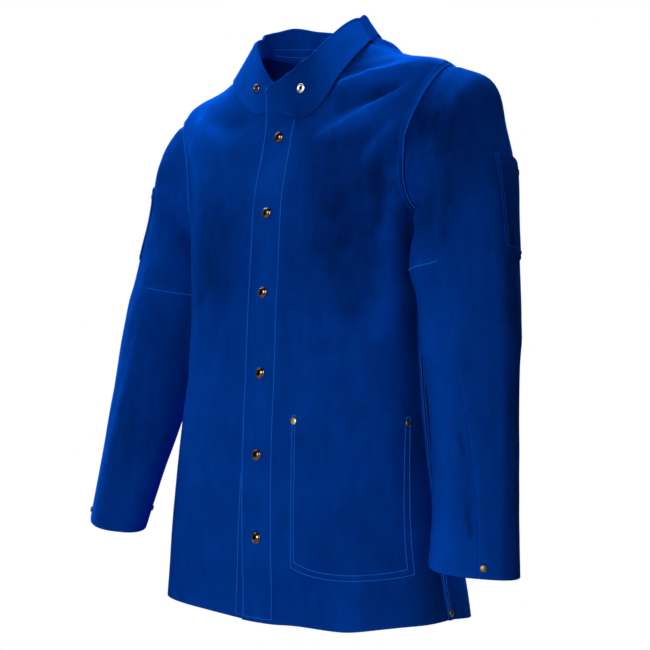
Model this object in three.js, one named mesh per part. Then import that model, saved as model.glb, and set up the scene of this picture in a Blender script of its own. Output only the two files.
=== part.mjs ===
// Welding jacket of split leather, worn shape, in millimetres.
// The origin is the middle of the line between the two points where the shoulder seams meet the collar.
// +Z is up, the wearer faces -Y, and the wearer's left hand is at +X.
import * as THREE from 'three';

// Leather and clearances
const LEATHER = 1.6; // wall of the shell panels, sleeves and collar
const LINING = 1.3; // wall of facings, pockets and the neck label
const SEAM = 0.5; // open line between two edges that are sewn together
const LAYER = 0.4; // air between two layers that lie on each other
const FRONT_LAP = 26; // how far each front runs past the centre line
const LAP_LIFT = LEATHER + LINING + 2 * LAYER; // the left front lies this far out, over the right front
const LAP_FADE = [1, 14]; // degrees past the lap over which the left front comes back to the body
const NECK_LIFT = { height: 8, rows: [5.7, 7], turns: [-16, 6] }; // its top corner lies over the right collar

// A table is a set of named columns, with a row for each section.
const table = (names, rows) =>
  Object.fromEntries(names.split(' ').map((name, k) => [name, rows.map((row) => row[k])]));

// Body sections from the hem to the neckline: heights at side, front and back, half width,
// depth to front and back from the section's centre, place of that centre, and squareness.
const BODY = table('side_z front_z back_z half_w front_d back_d centre_y square', [
  [-737, -745, -746, 220, 90, 130, -10, 3.0],
  [-570, -570, -570, 196, 88, 124, -14, 3.0],
  [-390, -390, -385, 178, 85, 122, -10, 2.9],
  [-236, -278, -236, 190, 82, 122, -6, 2.7],
  [-150, -212, -155, 208, 78, 116, -3, 2.4],
  [-61, -153, -88, 223, 66, 100, 0, 2.2],
  [-30, -120, -36, 148, 60, 84, 0, 2.0],
  [6, -90, 12, 78, 54, 64, 0, 2.0],
]);
const UNDERARM_ROW = 3;
const SHOULDER_ROW = 5;
const ARMHOLE_ROW = (UNDERARM_ROW + SHOULDER_ROW) / 2;
const NECK_ROW = 7;
// Degrees that the armhole cuts into the front and the back, and squareness of the front's lower half,
// which is scooped out under the arm
const ARMHOLE = { front: 13, back: 17, square: 4 };

// Sleeve sections from just outside the armhole to the cuff: the point under the arm, the point over
// the arm, the middle's y, half depth, turn of the section's long axis, squareness, and front seam.
const SLEEVE_COLUMNS = 'in_x in_z out_x out_z mid_y half_d twist square seam';
const SLEEVE = {
  left: table(SLEEVE_COLUMNS, [
    [197, -238, 251, -67, -1, 54, 0, 2.0, 120],
    [200, -243, 279, -88, 0, 60, 0, 2.0, 108],
    [201, -250, 288, -133, 0, 63, 0, 2.1, 100],
    [198, -263, 299, -197, 0, 64, 5, 2.2, 96],
    [191, -292, 306, -270, -3, 63, 15, 2.3, 93],
    [191, -382, 311, -374, -8, 57, 28, 2.4, 86],
    [208, -482, 313, -476, -16, 50, 38, 2.5, 72],
    [218, -580, 317, -580, -26, 44, 42, 2.6, 58],
    [218, -658, 322, -671, -35, 40, 42, 2.6, 52],
  ]),
  right: table(SLEEVE_COLUMNS, [
    [197, -238, 243, -71, -1, 52, 0, 2.0, 120],
    [199, -243, 257, -98, 1, 56, 0, 2.0, 108],
    [199, -250, 269, -143, 2, 58, 0, 2.1, 100],
    [195, -263, 282, -204, 2, 60, 5, 2.2, 96],
    [190, -294, 301, -268, 0, 61, 15, 2.3, 93],
    [199, -392, 325, -366, -16, 58, 28, 2.4, 86],
    [213, -493, 342, -468, -32, 53, 38, 2.5, 72],
    [239, -586, 361, -562, -43, 46, 42, 2.6, 58],
    [258, -658, 379, -634, -50, 41, 42, 2.6, 52],
  ]),
};
const SIDES = { left: 1, right: -1 };
const CUFF_ROW = 8;
const SLEEVE_JOIN = 4.3; // sleeve row where the two pieces of the under sleeve meet
const BACK_SEAM = -112.5; // degrees round the arm from the shoulder, negative towards the back
const ARMHOLE_SEAM = 135; // degrees of the front sleeve seam at the armhole
const CAP_BLEND = 1.8; // sleeve rows over which the armhole turns into the first sections
const SLEEVE_RADIUS = 55; // usual radius, to turn a seam's width into degrees
const SLEEVE_PITCH = 90; // usual length of a sleeve row, to turn a seam's width into rows

// Folds seen from the front or the back: a ridge or a hollow along a line from one point to another,
// on the fronts (face 1) or the back (face -1).
const FOLDS = table('from_x from_z to_x to_z height width face', [
  [104, -74, 166, -74, 3.5, 12, 1],
  [88, -142, 150, -118, 5, 16, 1],
  [150, -118, 190, -86, 7, 14, 1],
  [142, -182, 198, -104, 5, 13, 1],
  [196, -146, 178, -232, 2.5, 12, 1],
  [178, -232, 172, -380, 3, 14, 1],
  [128, -190, 138, -345, -6, 24, 1],
  [94, -168, 116, -268, -6, 36, 1],
  [150, -100, 188, -84, -4, 9, 1],
  [-150, -84, -84, -132, 3, 18, 1],
  [-120, -90, -70, -100, -3, 12, 1],
  [92, 0, 118, -14, 11, 22, -1],
  [-92, 0, -118, -14, 11, 22, -1],
]);
const FOLD_CLEAR = [15, 30]; // degrees from the middle of the front or back over which folds grow
const FOLD_EDGE = 9; // degrees from side seam and armhole over which they fade
const FOLD_REACH = 1.3; // body rows above and below the armhole's middle that feel it

// Turned-down collar from the left front's end round the back to the right front's end: height of the
// stand, its lean outwards, and where the leaf's outer edge lies on the body, as degrees and body row.
const COLLAR = table('turn stand lean edge_turn edge_row', [
  [-27, 9, 0, -26, 6.9],
  [-20, 22, 0, -19, 6.88],
  [-12, 31, 1, -11, 6.82],
  [0, 37, 1, 3, 6.68],
  [10, 38, 2, 17, 6.25],
  [20, 34, 2, 30, 5.6],
  [32, 30, 3, 43, 5.15],
  [45, 25, 3, 54, 5.25],
  [60, 20, 3, 65, 5.9],
  [75, 21, 3, 77, 6.35],
  [90, 25, 3, 91, 6.66],
  [120, 24, 2, 120, 6.68],
  [150, 29, 3, 150, 6.5],
  [180, 34, 5, 180, 6.3],
  [210, 43, 5, 210, 6.3],
  [235, 51, 6, 235, 6.35],
  [255, 41, 7, 255, 6.4],
  [270, 31, 7, 270, 6.4],
  [285, 26, 6, 285, 6.25],
  [300, 27, 5, 297, 5.95],
  [312, 28, 4, 309, 5.75],
  [322, 28, 3, 319, 5.8],
  [329, 27, 1, 327, 6.1],
  [333, 26, -1, 332, 6.4],
  [338, 24, -5, 338, 6.9],
  [348, 23, -7, 348, 6.9],
  [360, 21, -7, 360, 6.9],
  [387, 13, -7, 387, 6.9],
]);
const COLLAR_LIP = { from: 336, drop: 5 }; // under the left front the right end is only a short lip
const COLLAR_ROLL = 3.4; // radius of the fold between stand and leaf
const ROLL_SHARE = 0.36; // largest share of a low stand that the fold takes
const LEAF_STEPS = [0.42, 0.62, 0.82, 1]; // grid lines of the leaf, from the fold to its edge
const COLLAR_REST = LEATHER + 2.2; // height of the leaf's upper face where it lies on the body

// Metal: cap of a snap, rivet head, and the two halves of the collar's snap
const SNAP = { radius: 7.4, height: 4.2, count: 6, first_z: -129, pitch: 102.4 };
const RIVET = { radius: 4.2, height: 2.2 };
const EYELET = { radius: 6.4, hole: 2.6, height: 2.4 };
const METAL_GAP = 0.45; // air under a metal piece
const CUFF_CAP = { turn: 45, up: 12 };
const CUFF_STUD = { turn: 219, up: 26 };
const ROUND = 12; // sides of a round piece
const DOME = { rim: 0.4, shoulder: 0.85, inset: 0.66 }; // profile of a cap, as shares of height and radius
const RING = { top: 0.8, throat: 1.4 }; // profile of an eyelet, as shares of radius and hole
const HEM_RIVET = { turn: 91.4, row: 0.08 };
const COLLAR_SNAP = { socket: { turn: 26, point: 5 }, stud: { turn: 321, point: 5 } };

// Patch pockets on the upper arms and the bag inside the left front, in grid lines of what carries them
const SLEEVE_POCKET = { left: { columns: [2, 7], rows: [6, 9] }, right: { columns: [4, 9], rows: [5, 8] } };
const INNER_POCKET = { columns: [6, 12], rows: [1, 4], swell: 4 };
const LABEL = { from: 185, to: 238, top: 3, height: 18, wall: 0.7 };

// Grid lines: degrees from the centre front, body rows, and sleeve rows
const LAP_STEPS = 4; // columns of the lap
const CHEST_STEPS = 6; // columns from the lap to the body's corner
const CORNER_TURN = 64;
const TAIL_STEPS = 3; // columns from the corner to the side seam or armhole
const BACK_STEPS = 18;
const LOWER_ROWS = [0, 0.38, 0.72, 1.05, 1.4, 1.8, 2.2, 2.6];
const ARMHOLE_STEPS = 8;
const YOKE_STEPS = 6;
const SLEEVE_ROWS = [
  -1, -0.4, 0.2, 0.8, 1.4, 2.1, 2.75, 3.4, 3.9, SLEEVE_JOIN, 4.9, 5.6, 6.2, 6.8, 7.4, CUFF_ROW,
];
const TOP_STEPS = 11;
const UNDER_STEPS = 5;

const TURN_STEP = 0.5; // small steps for normals, in degrees and rows
const ROW_STEP = 0.02;
const CAP_EDGE = -0.95; // sleeve row nearest the armhole at which a normal is taken
const HALVINGS = 40; // of the search for a row at a height

const UP = new THREE.Vector3(0, 0, 1);
const { degToRad, radToDeg, smoothstep, lerp, clamp } = THREE.MathUtils;

// Catmull-Rom curve through a column, at a row number that need not be whole
function along(column, row) {
  const last = column.length - 1;
  const r = Math.min(Math.max(row, 0), last);
  const i = Math.min(Math.floor(r), last - 1);
  const t = r - i;
  const [b, c] = [column[i], column[i + 1]];
  const a = i > 0 ? column[i - 1] : 2 * b - c;
  const d = i < last - 1 ? column[i + 2] : 2 * c - b;
  return b + 0.5 * t * (c - a + t * (2 * a - 5 * b + 4 * c - d + t * (3 * b - a - 3 * c + d)));
}

// Distance from the centre of a superellipse to its edge
const superRadius = (cos, sin, cosHalf, sinHalf, square) =>
  (Math.abs(cos / cosHalf) ** square + Math.abs(sin / sinHalf) ** square) ** (-1 / square);

// Body surface: turn in degrees from the centre front towards the wearer's left, and body row
function body(turn, row) {
  const [sin, cos] = [Math.sin(degToRad(turn)), Math.cos(degToRad(turn))];
  const depth = along(cos > 0 ? BODY.front_d : BODY.back_d, row);
  const radius = superRadius(cos, sin, depth, along(BODY.half_w, row), along(BODY.square, row));
  const side = along(BODY.side_z, row);
  const middle = along(cos > 0 ? BODY.front_z : BODY.back_z, row);
  const y = along(BODY.centre_y, row) - radius * cos;
  return new THREE.Vector3(radius * sin, y, side + (middle - side) * cos * cos);
}

// Unit normal of a surface of two parameters, from small steps to both sides
function normalOf(surface, u, v, du, dv) {
  const alongU = surface(u + du, v).sub(surface(u - du, v));
  const alongV = surface(u, v + dv).sub(surface(u, v - dv));
  return alongU.cross(alongV).normalize();
}

function bodyNormal(turn, row) {
  const inside = clamp(row, ROW_STEP, NECK_ROW - ROW_STEP);
  return normalOf(body, turn, inside, TURN_STEP, ROW_STEP);
}

// Degrees that the armhole cuts into a front or the back, from rise -1 under the arm to 1 on the shoulder
function armholeCut(rise, face) {
  const power = face > 0 && rise < 0 ? ARMHOLE.square : 2;
  const half = (1 - Math.min(1, Math.abs(rise)) ** power) ** (1 / power);
  return (face > 0 ? ARMHOLE.front : ARMHOLE.back) * half;
}

// Degrees from the centre line at which a front or the back ends beside the armhole or the side seam
function sideEdge(row, face) {
  const half = radToDeg(SEAM / 2 / body(90, row).x);
  return 90 - face * (armholeCut(row - ARMHOLE_ROW, face) + half);
}

// Outward push of the folds at a point of the body
function foldHeight(turn, row) {
  const face = Math.sign(Math.cos(degToRad(turn)));
  const away = radToDeg(Math.asin(Math.abs(Math.sin(degToRad(turn)))));
  const clear = smoothstep(away, ...FOLD_CLEAR);
  const reach = Math.exp(-(((row - ARMHOLE_ROW) / FOLD_REACH) ** 2));
  const cut = (face > 0 ? ARMHOLE.front : ARMHOLE.back) * reach;
  const edge = smoothstep(90 - cut - away, 0, FOLD_EDGE);
  if (clear * edge === 0) return 0;
  const p = body(turn, row);
  const push = FOLDS.height.reduce((sum, height, k) => {
    if (FOLDS.face[k] !== face) return sum;
    const start = new THREE.Vector2(FOLDS.from_x[k], FOLDS.from_z[k]);
    const run = new THREE.Vector2(FOLDS.to_x[k], FOLDS.to_z[k]).sub(start);
    const offset = new THREE.Vector2(p.x, p.z).sub(start);
    const t = clamp(offset.dot(run) / run.lengthSq(), 0, 1);
    return sum + height * Math.exp(-offset.sub(run.multiplyScalar(t)).lengthSq() / FOLDS.width[k] ** 2);
  }, 0);
  return push * clear * edge;
}

// Point of the jacket's body with its folds, moved out by a lift
function shell(turn, row, lift = 0) {
  return body(turn, row).addScaledVector(bodyNormal(turn, row), foldHeight(turn, row) + lift);
}

// The left front lies over the right one near the centre line.
const lapTurn = (row) => radToDeg(Math.atan(FRONT_LAP / along(BODY.front_d, row)));
const neckLift = (turn, row) =>
  NECK_LIFT.height * smoothstep(row, ...NECK_LIFT.rows) * (1 - smoothstep(turn, ...NECK_LIFT.turns));
const lapLift = (turn, row) =>
  LAP_LIFT * (1 - smoothstep(turn - lapTurn(row), ...LAP_FADE)) + neckLift(turn, row);

// Armhole seam: psi in degrees, 0 at the shoulder point, 90 at the front, 180 under the arm
function armhole(psi, side) {
  const face = Math.sign(Math.sin(degToRad(psi)));
  const rise = Math.cos(degToRad(psi));
  const p = body(90 - face * armholeCut(rise, face), ARMHOLE_ROW + rise);
  p.x = SIDES[side] * (p.x + SEAM);
  return p;
}

// Sleeve surface: the armhole seam at row -1 turns into the oval sections of the table
function sleeve(psi, row, side) {
  const t = SLEEVE[side];
  const [inX, inZ, outX, outZ] = ['in_x', 'in_z', 'out_x', 'out_z'].map((name) => along(t[name], row));
  const half = Math.hypot(outX - inX, outZ - inZ) / 2;
  const turned = degToRad(psi + along(t.twist, row));
  const depth = along(t.half_d, row);
  const r = superRadius(Math.cos(turned), Math.sin(turned), half, depth, along(t.square, row));
  const out = (r / half) * Math.cos(degToRad(psi));
  const p = new THREE.Vector3(
    SIDES[side] * ((inX + outX) / 2 + (out * (outX - inX)) / 2),
    along(t.mid_y, row) - r * Math.sin(degToRad(psi)),
    (inZ + outZ) / 2 + (out * (outZ - inZ)) / 2,
  );
  return armhole(psi, side).lerp(p, smoothstep(row, -1, CAP_BLEND - 1));
}

function sleeveShell(psi, row, side, lift = 0) {
  const inside = clamp(row, CAP_EDGE, CUFF_ROW - ROW_STEP);
  const surface = (a, b) => sleeve(a, b, side);
  const normal = normalOf(surface, psi, inside, TURN_STEP, ROW_STEP).multiplyScalar(SIDES[side]);
  return sleeve(psi, row, side).addScaledVector(normal, lift);
}

// Closed wall between two grids of points with the same lines
function wall(outer, inner) {
  const [rows, columns] = [outer.length, outer[0].length];
  const points = [...outer.flat(), ...inner.flat()];
  const at = (i, j) => i * columns + j;
  const back = (i, j) => rows * columns + at(i, j);
  const index = [];
  const quad = (a, b, c, d) => index.push(a, b, c, a, c, d);
  for (let i = 0; i < rows - 1; i++) {
    for (let j = 0; j < columns - 1; j++) {
      quad(at(i, j), at(i, j + 1), at(i + 1, j + 1), at(i + 1, j));
      quad(back(i, j), back(i + 1, j), back(i + 1, j + 1), back(i, j + 1));
    }
    quad(at(i, 0), at(i + 1, 0), back(i + 1, 0), back(i, 0));
    quad(at(i + 1, columns - 1), at(i, columns - 1), back(i, columns - 1), back(i + 1, columns - 1));
  }
  for (let j = 0; j < columns - 1; j++) {
    quad(at(0, j + 1), at(0, j), back(0, j), back(0, j + 1));
    quad(at(rows - 1, j), at(rows - 1, j + 1), back(rows - 1, j + 1), back(rows - 1, j));
  }
  const volume = index.reduce(
    (sum, _, k) => (k % 3 ? sum : sum + points[index[k]].dot(
      points[index[k + 1]].clone().cross(points[index[k + 2]]))), 0);
  if (volume < 0) index.reverse();
  const geometry = new THREE.BufferGeometry().setFromPoints(points);
  geometry.setIndex(index);
  geometry.computeVertexNormals();
  return geometry;
}

// Numbers from one end to the other in even steps, with both ends
const spread = (from, to, steps) => Array.from({ length: steps + 1 }, (_, k) => lerp(from, to, k / steps));

// Grid of points from a list of rows, a list of columns for each row, and a function of both
const grid = (rows, columnsOf, pointAt) =>
  rows.map((row) => columnsOf(row).map((column) => pointAt(column, row)));

// Wall with its outer face lifted off a surface, thickness inwards
const sheet = (rows, columnsOf, surface, liftOf, thickness) =>
  wall(
    grid(rows, columnsOf, (column, row) => surface(column, row, liftOf(column, row))),
    grid(rows, columnsOf, (column, row) => surface(column, row, liftOf(column, row) - thickness)),
  );

// Colours of the photograph's leather, seen in even light, and of its metal
const leather = () => new THREE.MeshStandardMaterial({ color: 0x123a94, roughness: 0.92, metalness: 0 });
const rough = () => new THREE.MeshStandardMaterial({ color: 0x10327f, roughness: 0.96, metalness: 0 });
const brass = () => new THREE.MeshStandardMaterial({ color: 0x8a7350, roughness: 0.35, metalness: 1 });
const nickel = () => new THREE.MeshStandardMaterial({ color: 0xc9c9c6, roughness: 0.25, metalness: 1 });
const tape = () => new THREE.MeshStandardMaterial({ color: 0x2a55a8, roughness: 0.85, metalness: 0 });

const jacket = new THREE.Group();

function add(name, geometry, material) {
  const mesh = new THREE.Mesh(geometry, material);
  mesh.name = name;
  jacket.add(mesh);
  return mesh;
}

// Body rows: even below the arm, following the armhole's turn beside it, even again over the shoulder
const bodyRows = [
  ...LOWER_ROWS,
  ...spread(0, Math.PI, ARMHOLE_STEPS).slice(0, -1).map((a) => ARMHOLE_ROW - Math.cos(a)),
  ...spread(SHOULDER_ROW, NECK_ROW, YOKE_STEPS),
];

// Columns of the left front at a row; the right front's are the same with the sign turned.
function frontTurns(row) {
  const lap = lapTurn(row);
  return [
    ...spread(-lap, lap, LAP_STEPS),
    ...spread(lap, CORNER_TURN, CHEST_STEPS).slice(1),
    ...spread(CORNER_TURN, sideEdge(row, 1), TAIL_STEPS).slice(1),
  ];
}
const mirrored = (turns) => turns.map((turn) => -turn).reverse();

function backTurns(row) {
  const start = sideEdge(row, -1);
  return spread(start, 360 - start, BACK_STEPS);
}

// Panels of the body
add('front_panel_left', sheet(bodyRows, frontTurns, shell, lapLift, LEATHER), leather());
const rightTurns = (row) => mirrored(frontTurns(row));
add('front_panel_right', sheet(bodyRows, rightTurns, shell, () => 0, LEATHER), leather());
add('back_panel', sheet(bodyRows, backTurns, shell, () => 0, LEATHER), leather());

// Facings: strips inside both front edges, as wide as the two rows of stitching on the front
const facingTurns = (row) => frontTurns(row).slice(0, LAP_STEPS + 1);
const facingRows = bodyRows.slice(0, -1);
const underLeft = (turn, row) => lapLift(turn, row) - LEATHER - LAYER;
const underRight = () => -LEATHER - LAYER;
add('front_facing_left', sheet(facingRows, facingTurns, shell, underLeft, LINING), rough());
add('front_facing_right', sheet(facingRows, facingTurns, shell, underRight, LINING), rough());

// Bag of the inside pocket, closed to the left front along its seams and slightly swollen between them
const pocketRows = bodyRows.slice(INNER_POCKET.rows[0], INNER_POCKET.rows[1] + 1);
const pocketTurns = (row) => frontTurns(row).slice(INNER_POCKET.columns[0], INNER_POCKET.columns[1] + 1);
const inSpan = (value, list) => Math.sin((Math.PI * (value - list[0])) / (list.at(-1) - list[0]));
const pocketLift = (turn, row) =>
  underLeft(turn, row) - INNER_POCKET.swell * inSpan(turn, pocketTurns(row)) * inSpan(row, pocketRows);
add('inner_pocket', sheet(pocketRows, pocketTurns, shell, pocketLift, LINING), rough());

// Sleeves: a top piece, and an under piece made of two that meet below the armpit
const frontSeam = (row, side) => lerp(ARMHOLE_SEAM, along(SLEEVE[side].seam, row), smoothstep(row, -1, 0));
const seamHalf = radToDeg(SEAM / 2 / SLEEVE_RADIUS);

for (const side of Object.keys(SIDES)) {
  const surface = (psi, row, lift) => sleeveShell(psi, row, side, lift);
  const top = (row) => spread(BACK_SEAM + seamHalf, frontSeam(row, side) - seamHalf, TOP_STEPS);
  const under = (row) => spread(frontSeam(row, side) + seamHalf, 360 + BACK_SEAM - seamHalf, UNDER_STEPS);
  const join = SLEEVE_ROWS.indexOf(SLEEVE_JOIN);
  const upperRows = SLEEVE_ROWS.slice(0, join + 1);
  const lowerRows = [SLEEVE_JOIN + SEAM / SLEEVE_PITCH, ...SLEEVE_ROWS.slice(join + 1)];
  const flat = () => 0;
  add(`top_sleeve_${side}`, sheet(SLEEVE_ROWS, top, surface, flat, LEATHER), leather());
  add(`under_sleeve_upper_${side}`, sheet(upperRows, under, surface, flat, LEATHER), leather());
  add(`under_sleeve_lower_${side}`, sheet(lowerRows, under, surface, flat, LEATHER), leather());

  const pocket = SLEEVE_POCKET[side];
  const rows = SLEEVE_ROWS.slice(pocket.rows[0], pocket.rows[1] + 1);
  const columns = (row) => top(row).slice(pocket.columns[0], pocket.columns[1] + 1);
  add(`sleeve_pocket_${side}`, sheet(rows, columns, surface, () => LAYER + LINING, LINING), leather());
}

// Collar: one leaf of leather that stands on the neckline, rolls outwards and lies on the shoulders
const collarTurns = [
  ...frontTurns(NECK_ROW).slice(0, -1), 90, ...backTurns(NECK_ROW).slice(1, -1), 270,
  ...mirrored(frontTurns(NECK_ROW)).slice(1).map((turn) => turn + 360),
];

function collarColumn(name, turn) {
  const k = COLLAR.turn.findIndex((end, i) => i > 0 && turn <= end) - 1;
  const t = (turn - COLLAR.turn[k]) / (COLLAR.turn[k + 1] - COLLAR.turn[k]);
  return along(COLLAR[name], k + t);
}

// Face of the leaf at one turn: up the stand inside, over the roll, and down the leaf to its edge
function collarProfile(turn) {
  const [stand, lean, edgeTurn, edgeRow] =
    ['stand', 'lean', 'edge_turn', 'edge_row'].map((name) => collarColumn(name, turn));
  const lap = turn < 180 ? lapLift(turn, NECK_ROW) : 0;
  const foot = shell(turn, NECK_ROW, lap).addScaledVector(UP, SEAM);
  const out = new THREE.Vector3(foot.x, foot.y, 0).normalize();
  const roll = Math.min(COLLAR_ROLL, stand * ROLL_SHARE);
  const place = (outwards, upwards) =>
    foot.clone().addScaledVector(out, outwards).addScaledVector(UP, upwards);
  const points = [
    place(-LEATHER, 0),
    place(lean / 2 - LEATHER, (stand - roll) / 2),
    place(lean - LEATHER, stand - roll),
    place(lean - LEATHER + roll, stand),
    place(lean - LEATHER + 2 * roll, stand - roll),
  ];
  const start = points.at(-1);
  const rest = (t) => {
    const [a, r] = [lerp(turn, edgeTurn, t), lerp(NECK_ROW, edgeRow, t)];
    const lift = a < 180 ? lapLift(a, r) : 0;
    return { ground: shell(a, r, lift), normal: bodyNormal(a, r) };
  };
  const lip = turn > COLLAR_LIP.from;
  const edge = rest(1);
  const tip = lip
    ? start.clone().addScaledVector(UP, -COLLAR_LIP.drop)
    : edge.ground.addScaledVector(edge.normal, COLLAR_REST);
  for (const t of LEAF_STEPS) {
    const p = start.clone().lerp(tip, t);
    if (lip) {
      points.push(p);
      continue;
    }
    const { ground, normal } = rest(t);
    const short = COLLAR_REST - p.clone().sub(ground).dot(normal);
    points.push(p.addScaledVector(normal, Math.max(0, short)));
  }
  return points;
}

// Second face of a grid of points, at one thickness behind the first
function behind(face, thickness) {
  const [rows, columns] = [face.length, face[0].length];
  return face.map((line, i) => line.map((p, j) => {
    const alongU = face[Math.min(i + 1, rows - 1)][j].clone().sub(face[Math.max(i - 1, 0)][j]);
    const alongV = face[i][Math.min(j + 1, columns - 1)].clone().sub(face[i][Math.max(j - 1, 0)]);
    return p.clone().addScaledVector(alongU.cross(alongV).normalize(), -thickness);
  }));
}
const collarFace = collarTurns.map(collarProfile);
add('collar', wall(collarFace, behind(collarFace, -LEATHER)), leather());

// Plain label inside the back of the neck, hanging from the collar seam
const labelTurns = backTurns(NECK_ROW).filter((turn) => turn > LABEL.from && turn < LABEL.to);
const labelFace = labelTurns.map((turn) => {
  const foot = shell(turn, NECK_ROW);
  const out = new THREE.Vector3(foot.x, foot.y, 0).normalize();
  const hung = foot.addScaledVector(out, -LEATHER - LABEL.wall).addScaledVector(UP, LABEL.top);
  return [hung, hung.clone().addScaledVector(UP, -LABEL.height)];
});
add('neck_label', wall(labelFace, behind(labelFace, -LABEL.wall)), tape());

// Round metal pieces stand on the leather along its normal.
function roundPiece(name, profile, seat, normal, material) {
  const mesh = add(name, new THREE.LatheGeometry(profile, ROUND), material);
  mesh.position.copy(seat).addScaledVector(normal, METAL_GAP);
  mesh.quaternion.setFromUnitVectors(new THREE.Vector3(0, 1, 0), normal);
}
const vec = (x, y) => new THREE.Vector2(x, y);
const domeProfile = ({ radius, height }) => [
  vec(0, 0), vec(radius, 0), vec(radius, height * DOME.rim),
  vec(radius * DOME.inset, height * DOME.shoulder), vec(0, height),
];
const ringProfile = ({ radius, hole, height }) => [
  vec(hole, 0), vec(radius, 0), vec(radius * RING.top, height), vec(hole * RING.throat, height), vec(hole, 0),
];

// Body row at which the centre front reaches a height
function rowAtHeight(z) {
  let [low, high] = [0, NECK_ROW];
  for (let k = 0; k < HALVINGS; k++) {
    const middle = (low + high) / 2;
    if (along(BODY.front_z, middle) < z) low = middle;
    else high = middle;
  }
  return low;
}

for (let k = 0; k < SNAP.count; k++) {
  const row = rowAtHeight(SNAP.first_z - k * SNAP.pitch);
  const seat = shell(0, row, lapLift(0, row));
  roundPiece(`snap_cap_${k + 1}`, domeProfile(SNAP), seat, bodyNormal(0, row), brass());
}

// Rivets at the pocket's upper corners and at the foot of both side seams
const pocketTop = pocketRows.at(-1);
const pocketCorners = { front: pocketTurns(pocketTop)[0], side: pocketTurns(pocketTop).at(-1) };
for (const [corner, turn] of Object.entries(pocketCorners)) {
  const seat = shell(turn, pocketTop, lapLift(turn, pocketTop));
  roundPiece(`pocket_rivet_${corner}`, domeProfile(RIVET), seat, bodyNormal(turn, pocketTop), brass());
}
for (const [side, sign] of Object.entries(SIDES)) {
  const turn = sign > 0 ? HEM_RIVET.turn : 360 - HEM_RIVET.turn;
  const seat = shell(turn, HEM_RIVET.row);
  roundPiece(`hem_rivet_${side}`, domeProfile(RIVET), seat, bodyNormal(turn, HEM_RIVET.row), brass());
}

// Snaps of the cuffs: a flat cap on the outer front and a bare stud on the inner back
for (const side of Object.keys(SIDES)) {
  const rowUp = (up) => CUFF_ROW - up / (SLEEVE[side].out_z.at(-2) - SLEEVE[side].out_z.at(-1));
  for (const [kind, { turn, up }] of Object.entries({ cap: CUFF_CAP, stud: CUFF_STUD })) {
    const row = rowUp(up);
    const seat = sleeveShell(turn, row, side);
    const normal = sleeveShell(turn, row, side, 1).sub(seat);
    roundPiece(`cuff_${kind}_${side}`, domeProfile(RIVET), seat, normal.normalize(), brass());
  }
}

// Snap of the collar: a ringed socket on the left leaf, the bare back of its stud on the right leaf
for (const [kind, { turn, point }] of Object.entries(COLLAR_SNAP)) {
  const near = collarTurns.reduce((best, t, k) => (
    Math.abs(t - turn) < Math.abs(collarTurns[best] - turn) ? k : best), 0);
  const face = collarFace[near][point];
  const alongU = collarFace[near + 1][point].clone().sub(collarFace[near - 1][point]);
  const alongV = collarFace[near][point + 1].clone().sub(collarFace[near][point - 1]);
  const normal = alongU.cross(alongV).normalize();
  if (normal.y > 0) normal.negate();
  roundPiece(`collar_${kind}`, ringProfile(EYELET), face, normal, kind === 'socket' ? nickel() : brass());
}

export default jacket;
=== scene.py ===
"""Blue split-leather welding jacket in its worn form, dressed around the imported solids.

Tables and functions work in millimetres and degrees, as the part's source does; a finished mesh is written in
metres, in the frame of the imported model: +Z up, the wearer faces -Y, the wearer's left hand is at +X.
"""

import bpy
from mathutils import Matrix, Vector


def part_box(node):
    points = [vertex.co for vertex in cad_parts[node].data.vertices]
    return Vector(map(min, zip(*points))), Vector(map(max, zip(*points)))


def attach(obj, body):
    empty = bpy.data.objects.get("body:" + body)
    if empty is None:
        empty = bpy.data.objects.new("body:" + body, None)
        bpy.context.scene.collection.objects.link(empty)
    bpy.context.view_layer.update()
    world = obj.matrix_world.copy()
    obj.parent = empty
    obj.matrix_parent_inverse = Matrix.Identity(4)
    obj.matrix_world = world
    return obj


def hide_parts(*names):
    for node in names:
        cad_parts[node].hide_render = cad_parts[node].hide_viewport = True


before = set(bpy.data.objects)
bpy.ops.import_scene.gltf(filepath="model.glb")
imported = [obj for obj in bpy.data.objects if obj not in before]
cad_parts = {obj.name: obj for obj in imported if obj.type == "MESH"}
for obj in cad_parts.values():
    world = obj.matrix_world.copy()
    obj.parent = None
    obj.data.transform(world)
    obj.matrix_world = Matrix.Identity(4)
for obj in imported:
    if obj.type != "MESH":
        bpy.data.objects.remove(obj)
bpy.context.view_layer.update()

import math
from functools import partial

import bpy
import numpy as np
from mathutils import Vector

MM = 0.001
UP = np.array([0.0, 0.0, 1.0])

# Leather and clearances
LEATHER = 1.6
LINING = 1.3
SEAM = 0.5
LAYER = 0.4
FRONT_LAP = 26
LAP_LIFT = LEATHER + LINING + 2 * LAYER
LAP_FADE = (1, 14)
HEM_RISE = 7
HEM_RISE_TURNS = (54, 76)
HEM_RISE_END = (88, 112)
HEM_SAG = 3.5
HEM_SAG_TURN = 56
HEM_SAG_WIDTH = 16
HEM_ROWS = (0, 0.45)
NECK_LIFT = 8
NECK_LIFT_ROWS = (5.7, 7)
NECK_LIFT_TURNS = (-16, 6)


def table(names, rows):
    """Named columns, each an array with one value for each row."""
    return {name: np.array(column, float) for name, column in zip(names.split(), zip(*rows))}


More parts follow.
